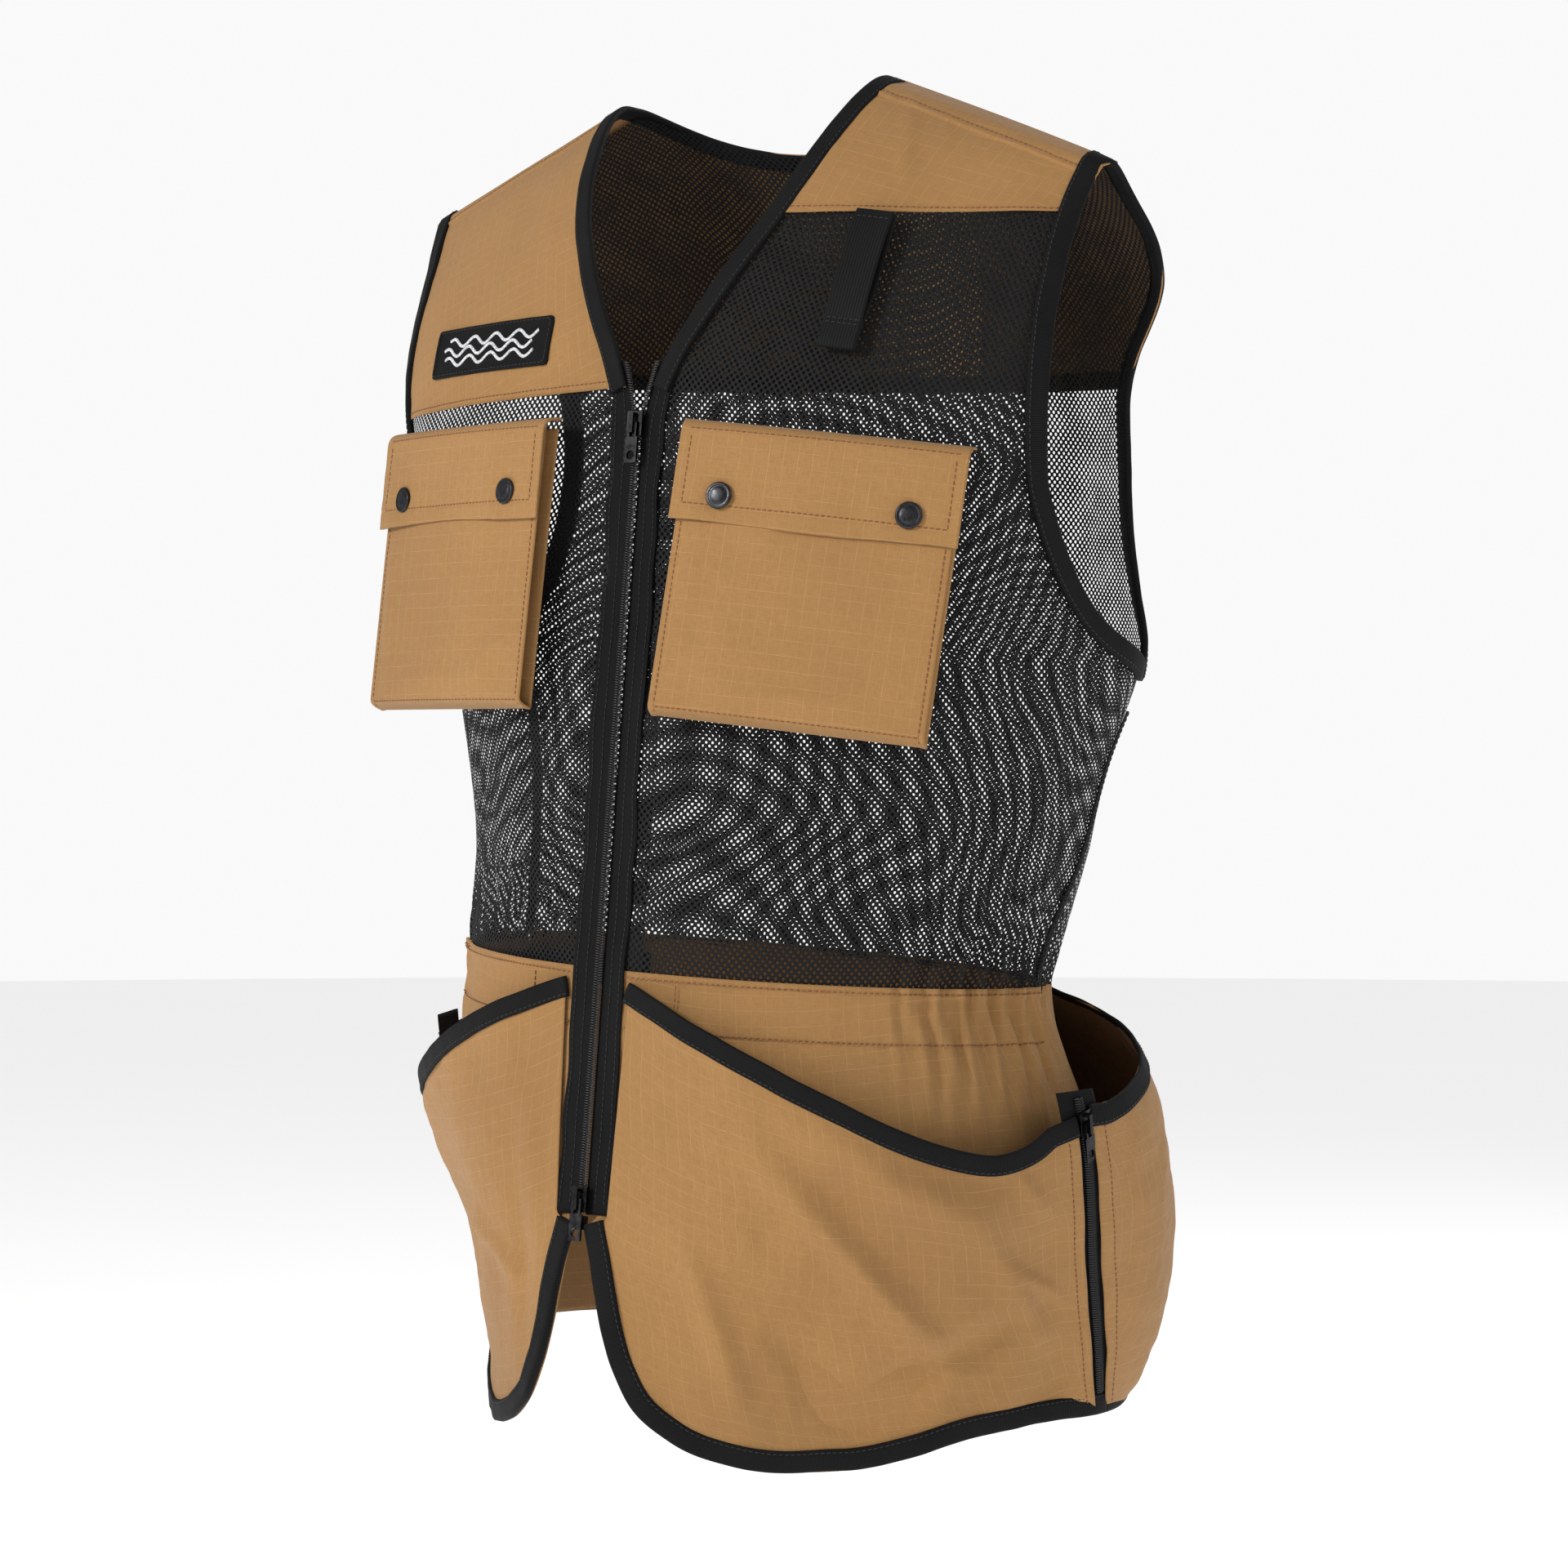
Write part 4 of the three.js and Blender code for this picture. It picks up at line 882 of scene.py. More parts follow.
class VEST_OT_stage(PieceOperator):
    """Make the floor, the lights and the camera"""

    bl_idname = "vest.stage"
    bl_label = "Stage"

    def execute(self, context):
        scene = context.scene
        bm = bmesh.new()
        bmesh.ops.create_circle(bm, cap_ends=True, segments=96, radius=9000.0)
        bmesh.ops.translate(bm, verts=bm.verts, vec=(0, 0, -900))
        floor = object_from(bm, "studio_floor", [studio_floor("Pale floor")])
        world = bpy.data.worlds.new("Studio")
        world.use_nodes = True
        tree = world.node_tree
        background = tree.nodes["Background"]
        background.inputs["Color"].default_value = (1.0, 1.0, 1.0, 1)
        behind = tree.nodes.new("ShaderNodeLightPath")
        strength = tree.nodes.new("ShaderNodeMapRange")
        strength.inputs["To Min"].default_value = 0.33
        strength.inputs["To Max"].default_value = 0.95
        tree.links.new(behind.outputs["Is Camera Ray"], strength.inputs["Value"])
        tree.links.new(strength.outputs["Result"], background.inputs["Strength"])
        scene.world = world
        scene.view_settings.view_transform = "Standard"
        for name, place, target, size, power, colour in (
                ("Key light", (-0.9, -2.4, 0.75), (0, 0, -0.35), 0.6, 37, (1.0, 0.985, 0.96)),
                ("Side light", (2.4, -0.6, 0.7), (0, 0, -0.4), 1.2, 8, (0.97, 0.985, 1.0)),
                ("Back light", (0.4, 2.3, 1.2), (0, 0, -0.3), 1.6, 16, (1.0, 1.0, 1.0))):
            lamp = bpy.data.lights.new(name, "AREA")
            lamp.size, lamp.energy, lamp.color = size, power, colour
            obj = bpy.data.objects.new(name, lamp)
            obj.location = place
            obj.rotation_euler = (Vector(target) - Vector(place)).to_track_quat("-Z", "Y").to_euler()
            scene.collection.objects.link(obj)
        c, s = math.cos(VIEW_TURN), math.sin(VIEW_TURN)
        along, across = Vector((-s, c, 0)), Vector((c, s, 0))
        camera = bpy.data.cameras.new("Camera")
        camera.lens, camera.sensor_width = 93.75, 36
        camera.clip_start, camera.clip_end = 0.1, 60
        eye = bpy.data.objects.new("Camera", camera)
        eye.location = -along * 2.2 + across * 0.0145 + Vector((0, 0, -0.371))
        eye.rotation_euler = along.to_track_quat("-Z", "Y").to_euler()
        scene.collection.objects.link(eye)
        scene.camera = eye
        return {"FINISHED"}


def panel_folds(points, seed, fine=0.5, broad=1.6):
    """Gentle rucks that any hanging cloth has."""
    depth = settings().fold_depth
    wide = wander(points * (1.0, 1.0, 0.55), 75.0, seed, 2)
    small = wander(points * (1.0, 1.0, 0.8), 24.0, seed + 3, 3)
    return depth * (broad * wide + fine * small)


def below_yoke(v):
    """Keeps the folds of the mesh clear of the skirt and the yoke that it joins."""
    return smooth_step(0.01, 0.08, v) * smooth_step(0.985, 0.9, v)


def waist_pleats(at):
    """The skirt's gathers as they run on into the mesh."""
    return gathered(at) * np.exp(-((at[..., 1] - WAIST) / 30) ** 2)


class VEST_OT_mesh(PieceOperator):
    """Make the mesh panels of the front and the back"""

    bl_idname = "vest.mesh"
    bl_label = "Mesh panels"

    def execute(self, context):
        for name, sign in SIDES:
            z0, fall = FRONT_YOKE[name]
            top_in = z0 - fall * 40 + 7
            top_out = z0 - fall * 205 + 7
            heights = rows(WAIST - 3, top_in, 60)
            left = Route([(float(angle_at_x(front_edge_x(z), z)), z) for z in heights])
            heights = rows(WAIST - 3, top_out, 60)
            right = Route([(float(arm_angle(z)), z) for z in heights])
            places = between(left, right)

            def shape(points, at, u, v):
                drape = np.sin(at[..., 0] / 9.0 + at[..., 1] / 60.0) * smooth_step(-300, -390, at[..., 1])
                folds = panel_folds(points, 4 + sign, 0.4, 2.4) + drape * 1.32
                return -1.2 + within(u, 0.06) * below_yoke(v) * folds + waist_pleats(at)

            cloth_panel(f"front_mesh_cloth_{name}", places, body, (110, 150), ["mesh"],
                        (f"front_mesh_{name}",), shape, sign)
        heights = rows(WAIST - 3, BACK_YOKE + 7, 60)
        left = Route([(float(arm_angle(z, True)), z) for z in heights])
        right = Route([(360 - float(arm_angle(z, True)), z) for z in heights])
        places = between(left, right)

        def back_shape(points, at, u, v):
            folds = 2.5 * np.sin(points[..., 0] / 21.0) * smooth_step(-330, WAIST, at[..., 1])
            folds = folds + panel_folds(points, 9, 0.5, 3.0)
            return -1.2 + within(u, 0.05) * below_yoke(v) * folds + waist_pleats(at)

        cloth_panel("back_mesh_cloth", places, body, (190, 150), ["mesh"], ("back_mesh",), back_shape)
        return {"FINISHED"}


class VEST_OT_yokes(PieceOperator):
    """Make the cloth yokes over the shoulders, with their seams"""

    bl_idname = "vest.yokes"
    bl_label = "Yokes"

    def execute(self, context):
        tip = float(ridge(SHOULDER))
        arm_front_x, arm_back_x = (
            [(tip, SHOULDER)] + [(z, float(body(through(edge, z), z)[0])) for z in rows(-66, -240, 40)]
            for edge in (ARM_FRONT, ARM_BACK))
        lines = []
        for name, sign in SIDES:
            z0, fall = FRONT_YOKE[name]
            u, v = grid_uv(110, 90)
            w = 1 - (1 - v) ** 2
            bottom_in, bottom_out = z0 - fall * 20 - 2, z0 - fall * SHOULDER - 2
            zl = bottom_in + (ridge(NECK) - bottom_in) * w
            zr = bottom_out + (tip - bottom_out) * w
            xl = np.maximum(SKIRT_EDGE, through(NECK_EDGE, zl))
            xr = through(arm_front_x, zr)
            x = xl + (xr - xl) * u
            z = np.minimum(zl + (zr - zl) * u, ridge(x) - 0.05)
            points = np.stack([x * sign, surface_y(x, z), z], -1)
            points = hung(points)
            out = normals_of(points) * sign
            below = ridge(x) - z
            fold = 1.3 * smooth_step(9.5, 8.6, below)
            dip = quilted_rise(below - YOKE_SEAM, 1.2, 0.45) + quilted_rise(v * 70 - 2.4, 1.3, 0.3)
            rucks = within(u, 0.08) * panel_folds(points, 21 + sign, 0.45, 1.3) * smooth_step(0, 14, below)
            if sign > 0:
                start, end = points[70, 20], points[10, 45]
                rucks = rucks + crease(points, start, end, 5.0, 1.6)
            points = points + out * (0.55 + fold + dip + rucks)[..., None]
            over = 1 - smooth_step(0, 3, below)
            points = points + np.stack([0 * over, 7 * over, 0.5 * over], -1)
            shown = points if sign > 0 else points[:, ::-1]
            cloth_piece(f"front_yoke_cloth_{name}", shown, ["ripstop"], (f"front_yoke_{name}",), 0.7)
            low = seam_row(points, 50)
            lines.append((points[low, 3:-3], out[low, 3:-3]))
            seam = np.argmin(np.abs(below - YOKE_SEAM), axis=0)
            pick = np.arange(4, points.shape[1] - 4)
            lines.append((relax(points[seam[pick], pick].copy(), 6), out[seam[pick], pick]))
        u, v = grid_uv(170, 90)
        w = 1 - (1 - v) ** 2
        share = 1 - 2 * u
        dip = BACK_NECK_DROP * (1 - np.minimum(np.abs(SHOULDER * share) / NECK, 1) ** 2.6)
        top = np.minimum(ridge(SHOULDER * share) - 0.05, -dip - 0.3)
        reach = through(arm_back_x, BACK_YOKE + (tip - BACK_YOKE) * w)
        x = reach * share
        z = BACK_YOKE - 2 + (top - BACK_YOKE + 2) * w
        points = hung(np.stack([x, surface_y(x, z, True), z], -1))
        out = normals_of(points)
        below = np.minimum(ridge(x) - z, 60)
        rise = 0.55 + within(u, 0.05) * panel_folds(points, 33, 0.4, 1.6) * smooth_step(0, 16, below)
        rise = rise + quilted_rise(v * 80 - 2.4, 1.3, 0.3)
        points = points + out * rise[..., None]
        cloth_piece("back_yoke_cloth", points, ["ripstop"], ("back_yoke",), 0.7)
        low = seam_row(points, 80)
        lines.append((points[low, 3:-3], out[low, 3:-3]))
        cloth_piece("back_yoke_lining", (points - out * 2.6)[:-6:2, 3:-3:2], ["mesh"])
        stitches("yoke_stitching", lines, finish_of("thread"))
        return {"FINISHED"}


def over_ridge(path):
    """How far a tape rises to pass over the yoke at the shoulder."""
    return 1.1 * (1 - smooth_step(1, 16, ridge(path[:, 0]) - path[:, 2]))


class VEST_OT_bindings(PieceOperator):
    """Make the folded tapes round the armholes, the neck, the hems and the pocket mouths"""

    bl_idname = "vest.bindings"
    bl_label = "Bindings"

    def execute(self, context):
        width = settings().binding_width * 1000
        lines = []
        tip = float(ridge(SHOULDER))
        ease = rows(0, 1, 90)
        ease = 0.25 * ease**2 + 0.75 * ease
        for name, sign in SIDES:
            z = tip - 0.4 + (UNDERARM + 1 - tip + 0.4) * ease
            front = np.stack([through(ARM_FRONT, z), z], -1)[::-1]
            back = np.stack([through(ARM_BACK, z), z], -1)
            path, out = path_frame(body, np.vstack([front, back]), sign)
            path[:, 2] += over_ridge(path)
            lines.append(binding(f"armhole_tape_{name}", path, out, width, sign, True, 3 + sign, 0.45, 0.2,
                                 2.0))
        ease = rows(0, 1, 60)
        z = -0.4 + (ZIP_TOP + 0.4) * (0.4 * ease**2 + 0.6 * ease)
        left = np.stack([angle_at_x(through(NECK_EDGE, z), z), z], -1)
        share = rows(-1, 1, 60)
        x = -share * (NECK - 1.2)
        height = -BACK_NECK_DROP * (1 - np.abs(share) ** 2.6) - 1.0
        angle = angle_at_x(x, height, True)
        behind = np.stack([np.where(x > 0, angle, 360 - angle), height], -1)[::-1]
        right = np.stack([-left[::-1, 0], left[::-1, 1]], -1)
        path, out = path_frame(body, np.vstack([right, behind, left]), 1)
        path[:, 2] += over_ridge(path)
        lines.append(binding("neck_tape", path, out, width * 0.9, 1, False, 8, 0.3, 0.2, 1.8))
        for name, sign in SIDES:
            path, out = path_frame(body, cut_at([tuple(p) for p in HEM_PLACES], 91.9), sign)
            lines.append(binding(f"hem_tape_{name}", path, out, width, sign, False, 11 + sign, 0.6, 1.5, 2.4))
            end = (float(beside_zip(MOUTH_PLACES[-1, 1], -ZIP_GAP)), MOUTH_PLACES[-1, 1] + 2)
            path, out = path_frame(belt, np.vstack([MOUTH_PLACES[:-1], [end]])[::-1], sign)
            lines.append(binding(f"pocket_tape_{name}", path, out, width * 0.95, sign, False, 15 + sign, 0.4))
            start = (float(beside_zip(POUCH_PLACES[0, 1], ZIP_GAP)), POUCH_PLACES[0, 1])
            path, out = path_frame(belt, np.vstack([[start], POUCH_PLACES])[::-1], sign)
            lines.append(binding(f"pouch_tape_{name}", path, out, width, sign, False, 19 + sign, 0.6))
        places = np.stack([rows(92.1, 267.9, 120), np.full(121, HEM)], -1)
        path, out = path_frame(body, places, 1)
        lines.append(binding("back_hem_tape", path, out, width, 1, False, 25, 0.6, 1.3, 2.3))
        stitches("binding_stitching", lines, finish_of("black thread"))
        return {"FINISHED"}


# ---------- the skirt ----------
def seen(points):
    """Places across and up as the camera sees them, which the creases are drawn in."""
    across = points[..., 0] * math.cos(VIEW_TURN) + points[..., 1] * math.sin(VIEW_TURN)
    return np.stack([across, np.zeros_like(across), points[..., 2]], -1)


def gathered(at):
    """Small pleats that the waist elastic pulls together at the sides."""
    side = np.abs((at[..., 0] + 180) % 360 - 180)
    near = np.exp(-((side - 80) / 20) ** 4) * (1 - smooth_step(0, 85, WAIST - at[..., 1]))
    turn = np.radians(side)
    wave = np.sin(turn * 76 + 1.1 * np.sin(at[..., 1] / 11)) + 0.5 * np.sin(turn * 131)
    return near * (2.9 * wave + 1.0)


# Each crease of the hand pockets: its two ends as seen, width, height.
SKIRT_CREASES = {
    "left": (((1, -556), (100, -668), 9, 4.5), ((20, -540), (120, -600), 12, 3.0),
             ((40, -690), (150, -640), 9, -2.2), ((110, -590), (150, -660), 7, 2.2),
             ((-35, -600), (-5, -690), 7, 2.2), ((0, -640), (60, -700), 10, -2.0),
             ((60, -560), (140, -575), 9, -2.2), ((128, -615), (165, -640), 4, 1.6),
             ((125, -560), (150, -590), 5, 1.5)),
    "right": (((-118, -520), (-98, -650), 7, 2.4), ((-128, -560), (-112, -690), 6, -1.8),
              ((-150, -600), (-120, -630), 5, 1.6)),
}


# Each crease of the pouch: place across, how far it leans on its way down, height.
POUCH_CREASES = ((-120, 20, 3.5), (-60, -15, -3.0), (10, 25, 3.0), (70, -25, -3.0), (125, 10, 3.0))


class VEST_OT_skirt(PieceOperator):
    """Make the skirt, its hand pockets and the pouch across the back"""

    bl_idname = "vest.skirt"
    bl_label = "Skirt and pockets"

    def execute(self, context):
        lines, dark = [], []
        for name, sign in SIDES:
            edge = [(float(angle_at_x(SKIRT_EDGE, z)), z) for z in rows(ZIP_BOTTOM, WAIST + 1, 24)]
            slit = [tuple(p) for p in HEM_PLACES[:CORNER + 1][::-1]]
            left = Route(slit + edge)
            side = Route([(92.0, z) for z in rows(HEM, WAIST + 1, 20)])
            bottom = Route(np.array([tuple(p) for p in HEM_PLACES[CORNER:-1]] + [(92.0, HEM)]))
            top = Route([left(1), (92.0, WAIST + 1)])
            places = coons(left, side, bottom, top)

            def skirt_shape(points, at, u, v):
                fold = 1.1 * smooth_step(WAIST - 5.2, WAIST - 4.2, at[..., 1])
                fold = fold * smooth_step(8, 11, at[..., 0])
                casing = quilted_rise(at[..., 1] - (WAIST - 29), 1.3, 0.5)
                hem = smooth_step(0, 0.1, v)
                rucks = panel_folds(points, 41 + sign, 0.5, 1.2) * hem * smooth_step(0.02, 0.12, u)
                return -0.6 + fold + casing + (gathered(at) + rucks) * smooth_step(-620, -560, at[..., 1])

            cloth_panel(f"skirt_cloth_{name}", places, body, (120, 130), ["ripstop"], (f"skirt_{name}",),
                        skirt_shape, sign, 0.6)
            for height, lift in ((WAIST - SEAM_ROW, 1.3), (CASING_SEAM, -0.1)):
                where = np.stack([rows(float(angle_at_x(17, height)), 91, 150), np.full(151, height)], -1)
                points, out = path_frame(body, where, sign)
                lines.append((points + out * (lift + gathered(where))[..., None], out))

            for across in (21, 45):
                heights = rows(WAIST - 4, CASING_SEAM, 24)
                where = np.stack([angle_at_x(across, heights), heights], -1)
                points, out = path_frame(body, where, sign)
                lines.append((points + out * 0.5, out))
            mouth = [tuple(p) for p in MOUTH_PLACES]
            low = [(float(angle_at_x(SKIRT_EDGE, z)), z) for z in rows(ZIP_BOTTOM, mouth[0][1], 20)]
            left = Route(slit + low)
            heights = rows(HEM, mouth[-1][1], 24)
            side = Route([(float(beside_zip(z, -ZIP_GAP)), z) for z in heights])
            bottom = Route(cut_at([tuple(p) for p in HEM_PLACES[CORNER:]], float(beside_zip(HEM, -ZIP_GAP))))
            places = coons(left, side, bottom, Route(mouth[:-1] + [tuple(side(1))]))

            def pocket_shape(points, at, u, v):
                view = seen(points)
                rise = panel_folds(points, 51 + sign, 1.1, 5.0)
                for (a, b), (c, d), width, height in SKIRT_CREASES[name]:
                    rise = rise + crease(view, (a, 0, b), (c, 0, d), width, 2.1 * height)
                free = smooth_step(0.03, 0.15, v) * smooth_step(0.98, 0.9, v)
                free = free * smooth_step(0.03, 0.14, u) * smooth_step(0.98, 0.9, u)
                near_zip = smooth_step(0.9, 1.0, u) * np.sin(at[..., 1] / 5.5) * 0.3
                return 0.1 + free * rise + near_zip + 0.5 * smooth_step(0.985, 1, u)

            points = cloth_panel(f"hand_pocket_cloth_{name}", places, belt, (150, 130), ["ripstop", "inside_painted_shade"],
                                 (f"hand_pocket_{name}",), pocket_shape, sign, 0.7)
            column = -4 if sign > 0 else 3
            lines.append((points[3:-4, column], normals_of(points)[3:-4, column]))
            heights = rows(-320, WAIST, 30)
            points, out = path_frame(body, np.stack([through(SIDE_SEAM, heights), heights], -1), sign)
            strip = swept(f"side_seam_{name}", *even(points, 3.0, out)[:2], ribbon(3.2, 2.2, 0.3, 0.6, -0.2),
                          [finish_of("binding")], side=sign)
            finish_piece(strip, ROOT)
            dark.append((points + out * 0.9, out))
        left = Route([(92.0, z) for z in rows(HEM, WAIST + 1, 20)])
        right = Route([(268.0, z) for z in rows(HEM, WAIST + 1, 20)])
        places = between(left, right)

        def back_shape(points, at, u, v):
            return -0.6 + gathered(at) + panel_folds(points, 61, 0.4, 1.0) * smooth_step(1, 0.9, v)

        cloth_panel("skirt_back_cloth", places, body, (150, 80), ["ripstop", "inside_painted_shade"], ("skirt_back",),
                    back_shape, 1, 0.6)
        mouth = [tuple(p) for p in POUCH_PLACES]
        left = Route([(float(beside_zip(z, ZIP_GAP)), z) for z in rows(HEM, mouth[0][1], 24)])
        right = Route([(360 - a, z) for a, z in left.places])
        other = [(360 - a, z) for a, z in mouth[-2:0:-1]]
        top = Route([tuple(left(1))] + mouth[1:] + other + [tuple(right(1))])
        places = coons(left, right, Route([left(0), right(0)]), top)

        def pouch_shape(points, at, u, v):
            rise = panel_folds(points, 71, 1.3, 4.0)
            high_y, low_y = points[40, 75, 1], points[20, 75, 1]
            for x, lean, height in POUCH_CREASES:
                rise = rise + crease(points, (x, high_y, -500), (x + lean, low_y, -670), 16, height)
            free = within(v, 0.1, 0.07) * within(u, 0.05)
            near_zip = smooth_step(0.96, 1.0, u) + smooth_step(0.04, 0.0, u)
            return 0.1 + free * rise + near_zip * np.sin(at[..., 1] / 5.0) * 0.3

        points = cloth_panel("back_pouch_cloth", places, belt, (260, 110), ["ripstop", "inside_painted_shade"],
                             ("back_pouch",), pouch_shape, 1, 0.7)
        outward = normals_of(points)
        for column in (3, -4):
            lines.append((points[3:-4, column], outward[3:-4, column]))
        stitches("skirt_stitching", lines, finish_of("thread"))
        stitches("side_seam_stitching", dark, finish_of("black thread"))
        return {"FINISHED"}


class VEST_OT_elastic(PieceOperator):
    """Make the elastic that gathers the waist behind the skirt"""

    bl_idname = "vest.elastic"
    bl_label = "Waist elastic"

    def execute(self, context):
        for name, sign in SIDES:
            where = np.stack([rows(66, 118, 90), np.full(91, WAIST - 18.0)], -1)
            points, out = path_frame(body, where, sign)
            points, out, along = even(points, 1.6, out)
            ripple = 0.4 * np.sin(along / 1.6)
            profile = [(9.8, 0.3), (9.3, 0.6), (-9.3, 0.6), (-9.8, 0.3)]
            profile += [(-across, -up) for across, up in profile]
            strip = swept(f"waist_elastic_strip_{name}", points - out * 6.0, out, profile,
                          [finish_of("webbing")], wave=(np.zeros_like(ripple), ripple), side=sign)
            finish_piece(strip, ROOT, (f"waist_elastic_{name}",))
        return {"FINISHED"}


# ---------- the zips ----------
def tooth_shape():
    """One bump of the coil, lying along X."""
    bm = bmesh.new()
    bmesh.ops.create_uvsphere(bm, u_segments=7, v_segments=5, radius=0.5)
    bmesh.ops.rotate(bm, verts=bm.verts, matrix=Matrix.Rotation(math.pi / 2, 3, "Y"))
    bmesh.ops.scale(bm, vec=(3.7, 1.9, 1.12), verts=bm.verts)
    mesh = bpy.data.meshes.new("tooth")
    bm.to_mesh(mesh)
    bm.free()
    return mesh


def coil_chain(name, frame_at, start, end, spread, replaced):
    """The two rows of a coil zip; frame_at gives the frame at a length down it."""
    shape = tooth_shape()
    for side, sign in SIDES:
        frames = []
        for i in range(int((end - start) / TOOTH_PITCH)):
            z = start + (i + (0.5 if sign > 0 else 0.0)) * TOOTH_PITCH
            frames.append(frame_at(z) @ Matrix.Translation((sign * (1.25 + spread(z)), 0.35, 0))
                          @ Matrix.Rotation(sign * 0.16, 4, "Y"))
        obj = place_copies(f"{name}_{side}", shape, frames, [finish_of("nylon")])
        finish_piece(obj, ROOT, replaced.get(side, ()))
    bpy.data.meshes.remove(shape)


def front_zip_frame():
    return local_frame((0, ZIP_Y, ZIP_TOP), (1, 0, 0), (0, -1, ZIP_LEAN))


def zip_spread(z):
    """How far each row of teeth of the front zip stands off at a length down it, above its slider."""
    return 9.5 * (np.maximum(0.0, 24 - z) / 39) ** 1.3


class VEST_OT_zips(PieceOperator):
    """Make the coil zips of the front and the pouch"""

    bl_idname = "vest.zips"
    bl_label = "Zips"

    def execute(self, context):
        matrix = front_zip_frame()
        outward = np.array(matrix)[:3, 1]
        length = FRONT_ZIP_LENGTH
        lines = []
        for name, sign in SIDES:
            u, v = grid_uv(12, 180)
            z = -15 + (length + 14.5) * v
            sway = 0.5 * np.sin(z / 19.0 + sign) + 0.35 * np.sin(z / 6.3 + 2 * sign)
            x = sign * (2.0 + zip_spread(z) + (14.4 + sway - 0.4 * zip_spread(z)) * u)
            ruck = (0.5 * np.sin(z / 8.0 + sign) * u + 0.4 * np.sin(z / 23.0)) * u
            points = to_world(matrix, np.stack([x, -0.35 - 0.6 * (1 - u) + ruck, z], -1))[::-1]
            if sign < 0:
                points = points[:, ::-1]
            cloth_piece(f"front_tape_{name}", points, ["tape"], (f"front_zip_tape_{name}",), 0.8, False)
            for column in (5, 10):
                row = points[2:-2, column if sign > 0 else -1 - column]
                lines.append((row + outward * 0.1, np.tile(outward, (len(row), 1))))
        coil_chain("front_coil", lambda z: matrix @ Matrix.Translation((0, 0, z)), -13, length - 1,
                   zip_spread, {side: (f"front_zip_coil_{side}",) for side, _ in SIDES})
        u, v = grid_uv(3, 90)
        x = 13.5 + 11 * u
        z = ZIP_TOP - (12 + (length - 30) * v)
        cloth_piece("zip_facing", hung(np.stack([x, surface_y(x, z) + 1.6, z], -1))[::-1], ["mesh"])
        for name, sign in SIDES:
            heights = rows(HEM + 7, SIDE_ZIP_TOP + 4, 70)
            across = rows(-12, 12, 14)
            angle = np.stack([beside_zip(heights, x) for x in across], 1)
            z = np.broadcast_to(heights[:, None], angle.shape)
            cloth = hung_side(belt(angle, z), sign)
            out = normals_of(cloth) * sign
            cloth = cloth - out * (1.5 + 0.2 * np.cos(across / 3.0))[None, :, None]
            shown = cloth if sign > 0 else cloth[:, ::-1]
            cloth_piece(f"side_tape_{name}", shown, ["tape"], (f"side_zip_tape_{name}",), 0.8, False)
            middle, turned, along = even(cloth[::-1, 7] + out[::-1, 7] * 0.9, 1.0, out[::-1, 7])

            def frame_at(distance):
                def at(distance, table):
                    return np.array([np.interp(distance, along, table[:, k]) for k in range(3)])

                down = Vector(at(distance + 3, middle) - at(distance - 3, middle)).normalized()
                facing = Vector(at(distance, turned))
                return local_frame(at(distance, middle), facing.cross(down), facing)

            coil_chain(f"side_coil_{name}", frame_at, 4, float(along[-1]) - 4, lambda z: 0.0,
                       {"left": (f"side_zip_coil_{name}",)})
        stitches("zip_stitching", lines, finish_of("black thread"))
        return {"FINISHED"}


# ---------- the chest pockets ----------
def pocket_frame(sign):
    turn, lean = math.radians(POCKET["turn"]) * sign, math.tan(math.radians(POCKET["lean"]))
    outward = (math.sin(turn), -math.cos(turn), lean)
    across = (math.cos(turn), math.sin(turn), -(sign * POCKET["fall"] + HANG))
    origin = front_surface(sign * POCKET["x"], POCKET["top"] - sign * HANG * POCKET["x"])
    return local_frame(origin, across, outward)


def pocket_face(x):
    return POCKET["depth"] - POCKET["bend"] * (x / POCKET["half"]) ** 2


def snap_cap():
    """A spun cap with a rolled rim and a shallow crown, standing along Y."""
    outline = [(0.01, 1.75), (2.5, 1.7), (4.3, 1.45), (4.9, 1.15), (5.3, 1.25), (6.1, 1.4), (6.7, 1.15),
               (6.95, 0.6), (6.9, 0.1), (6.6, -0.2)]
    bm = bmesh.new()
    line = [bm.verts.new((r, y, 0)) for r, y in outline]
    edges = [bm.edges.new(pair) for pair in zip(line, line[1:])]
    bmesh.ops.spin(bm, geom=line + edges, cent=(0, 0, 0), axis=(0, 1, 0), angle=2 * math.pi, steps=40,
                   use_merge=True)
    bmesh.ops.remove_doubles(bm, verts=bm.verts, dist=0.02)
    bmesh.ops.recalc_face_normals(bm, faces=bm.faces)
    mesh = bpy.data.meshes.new("cap")
    bm.to_mesh(mesh)
    bm.free()
    return mesh


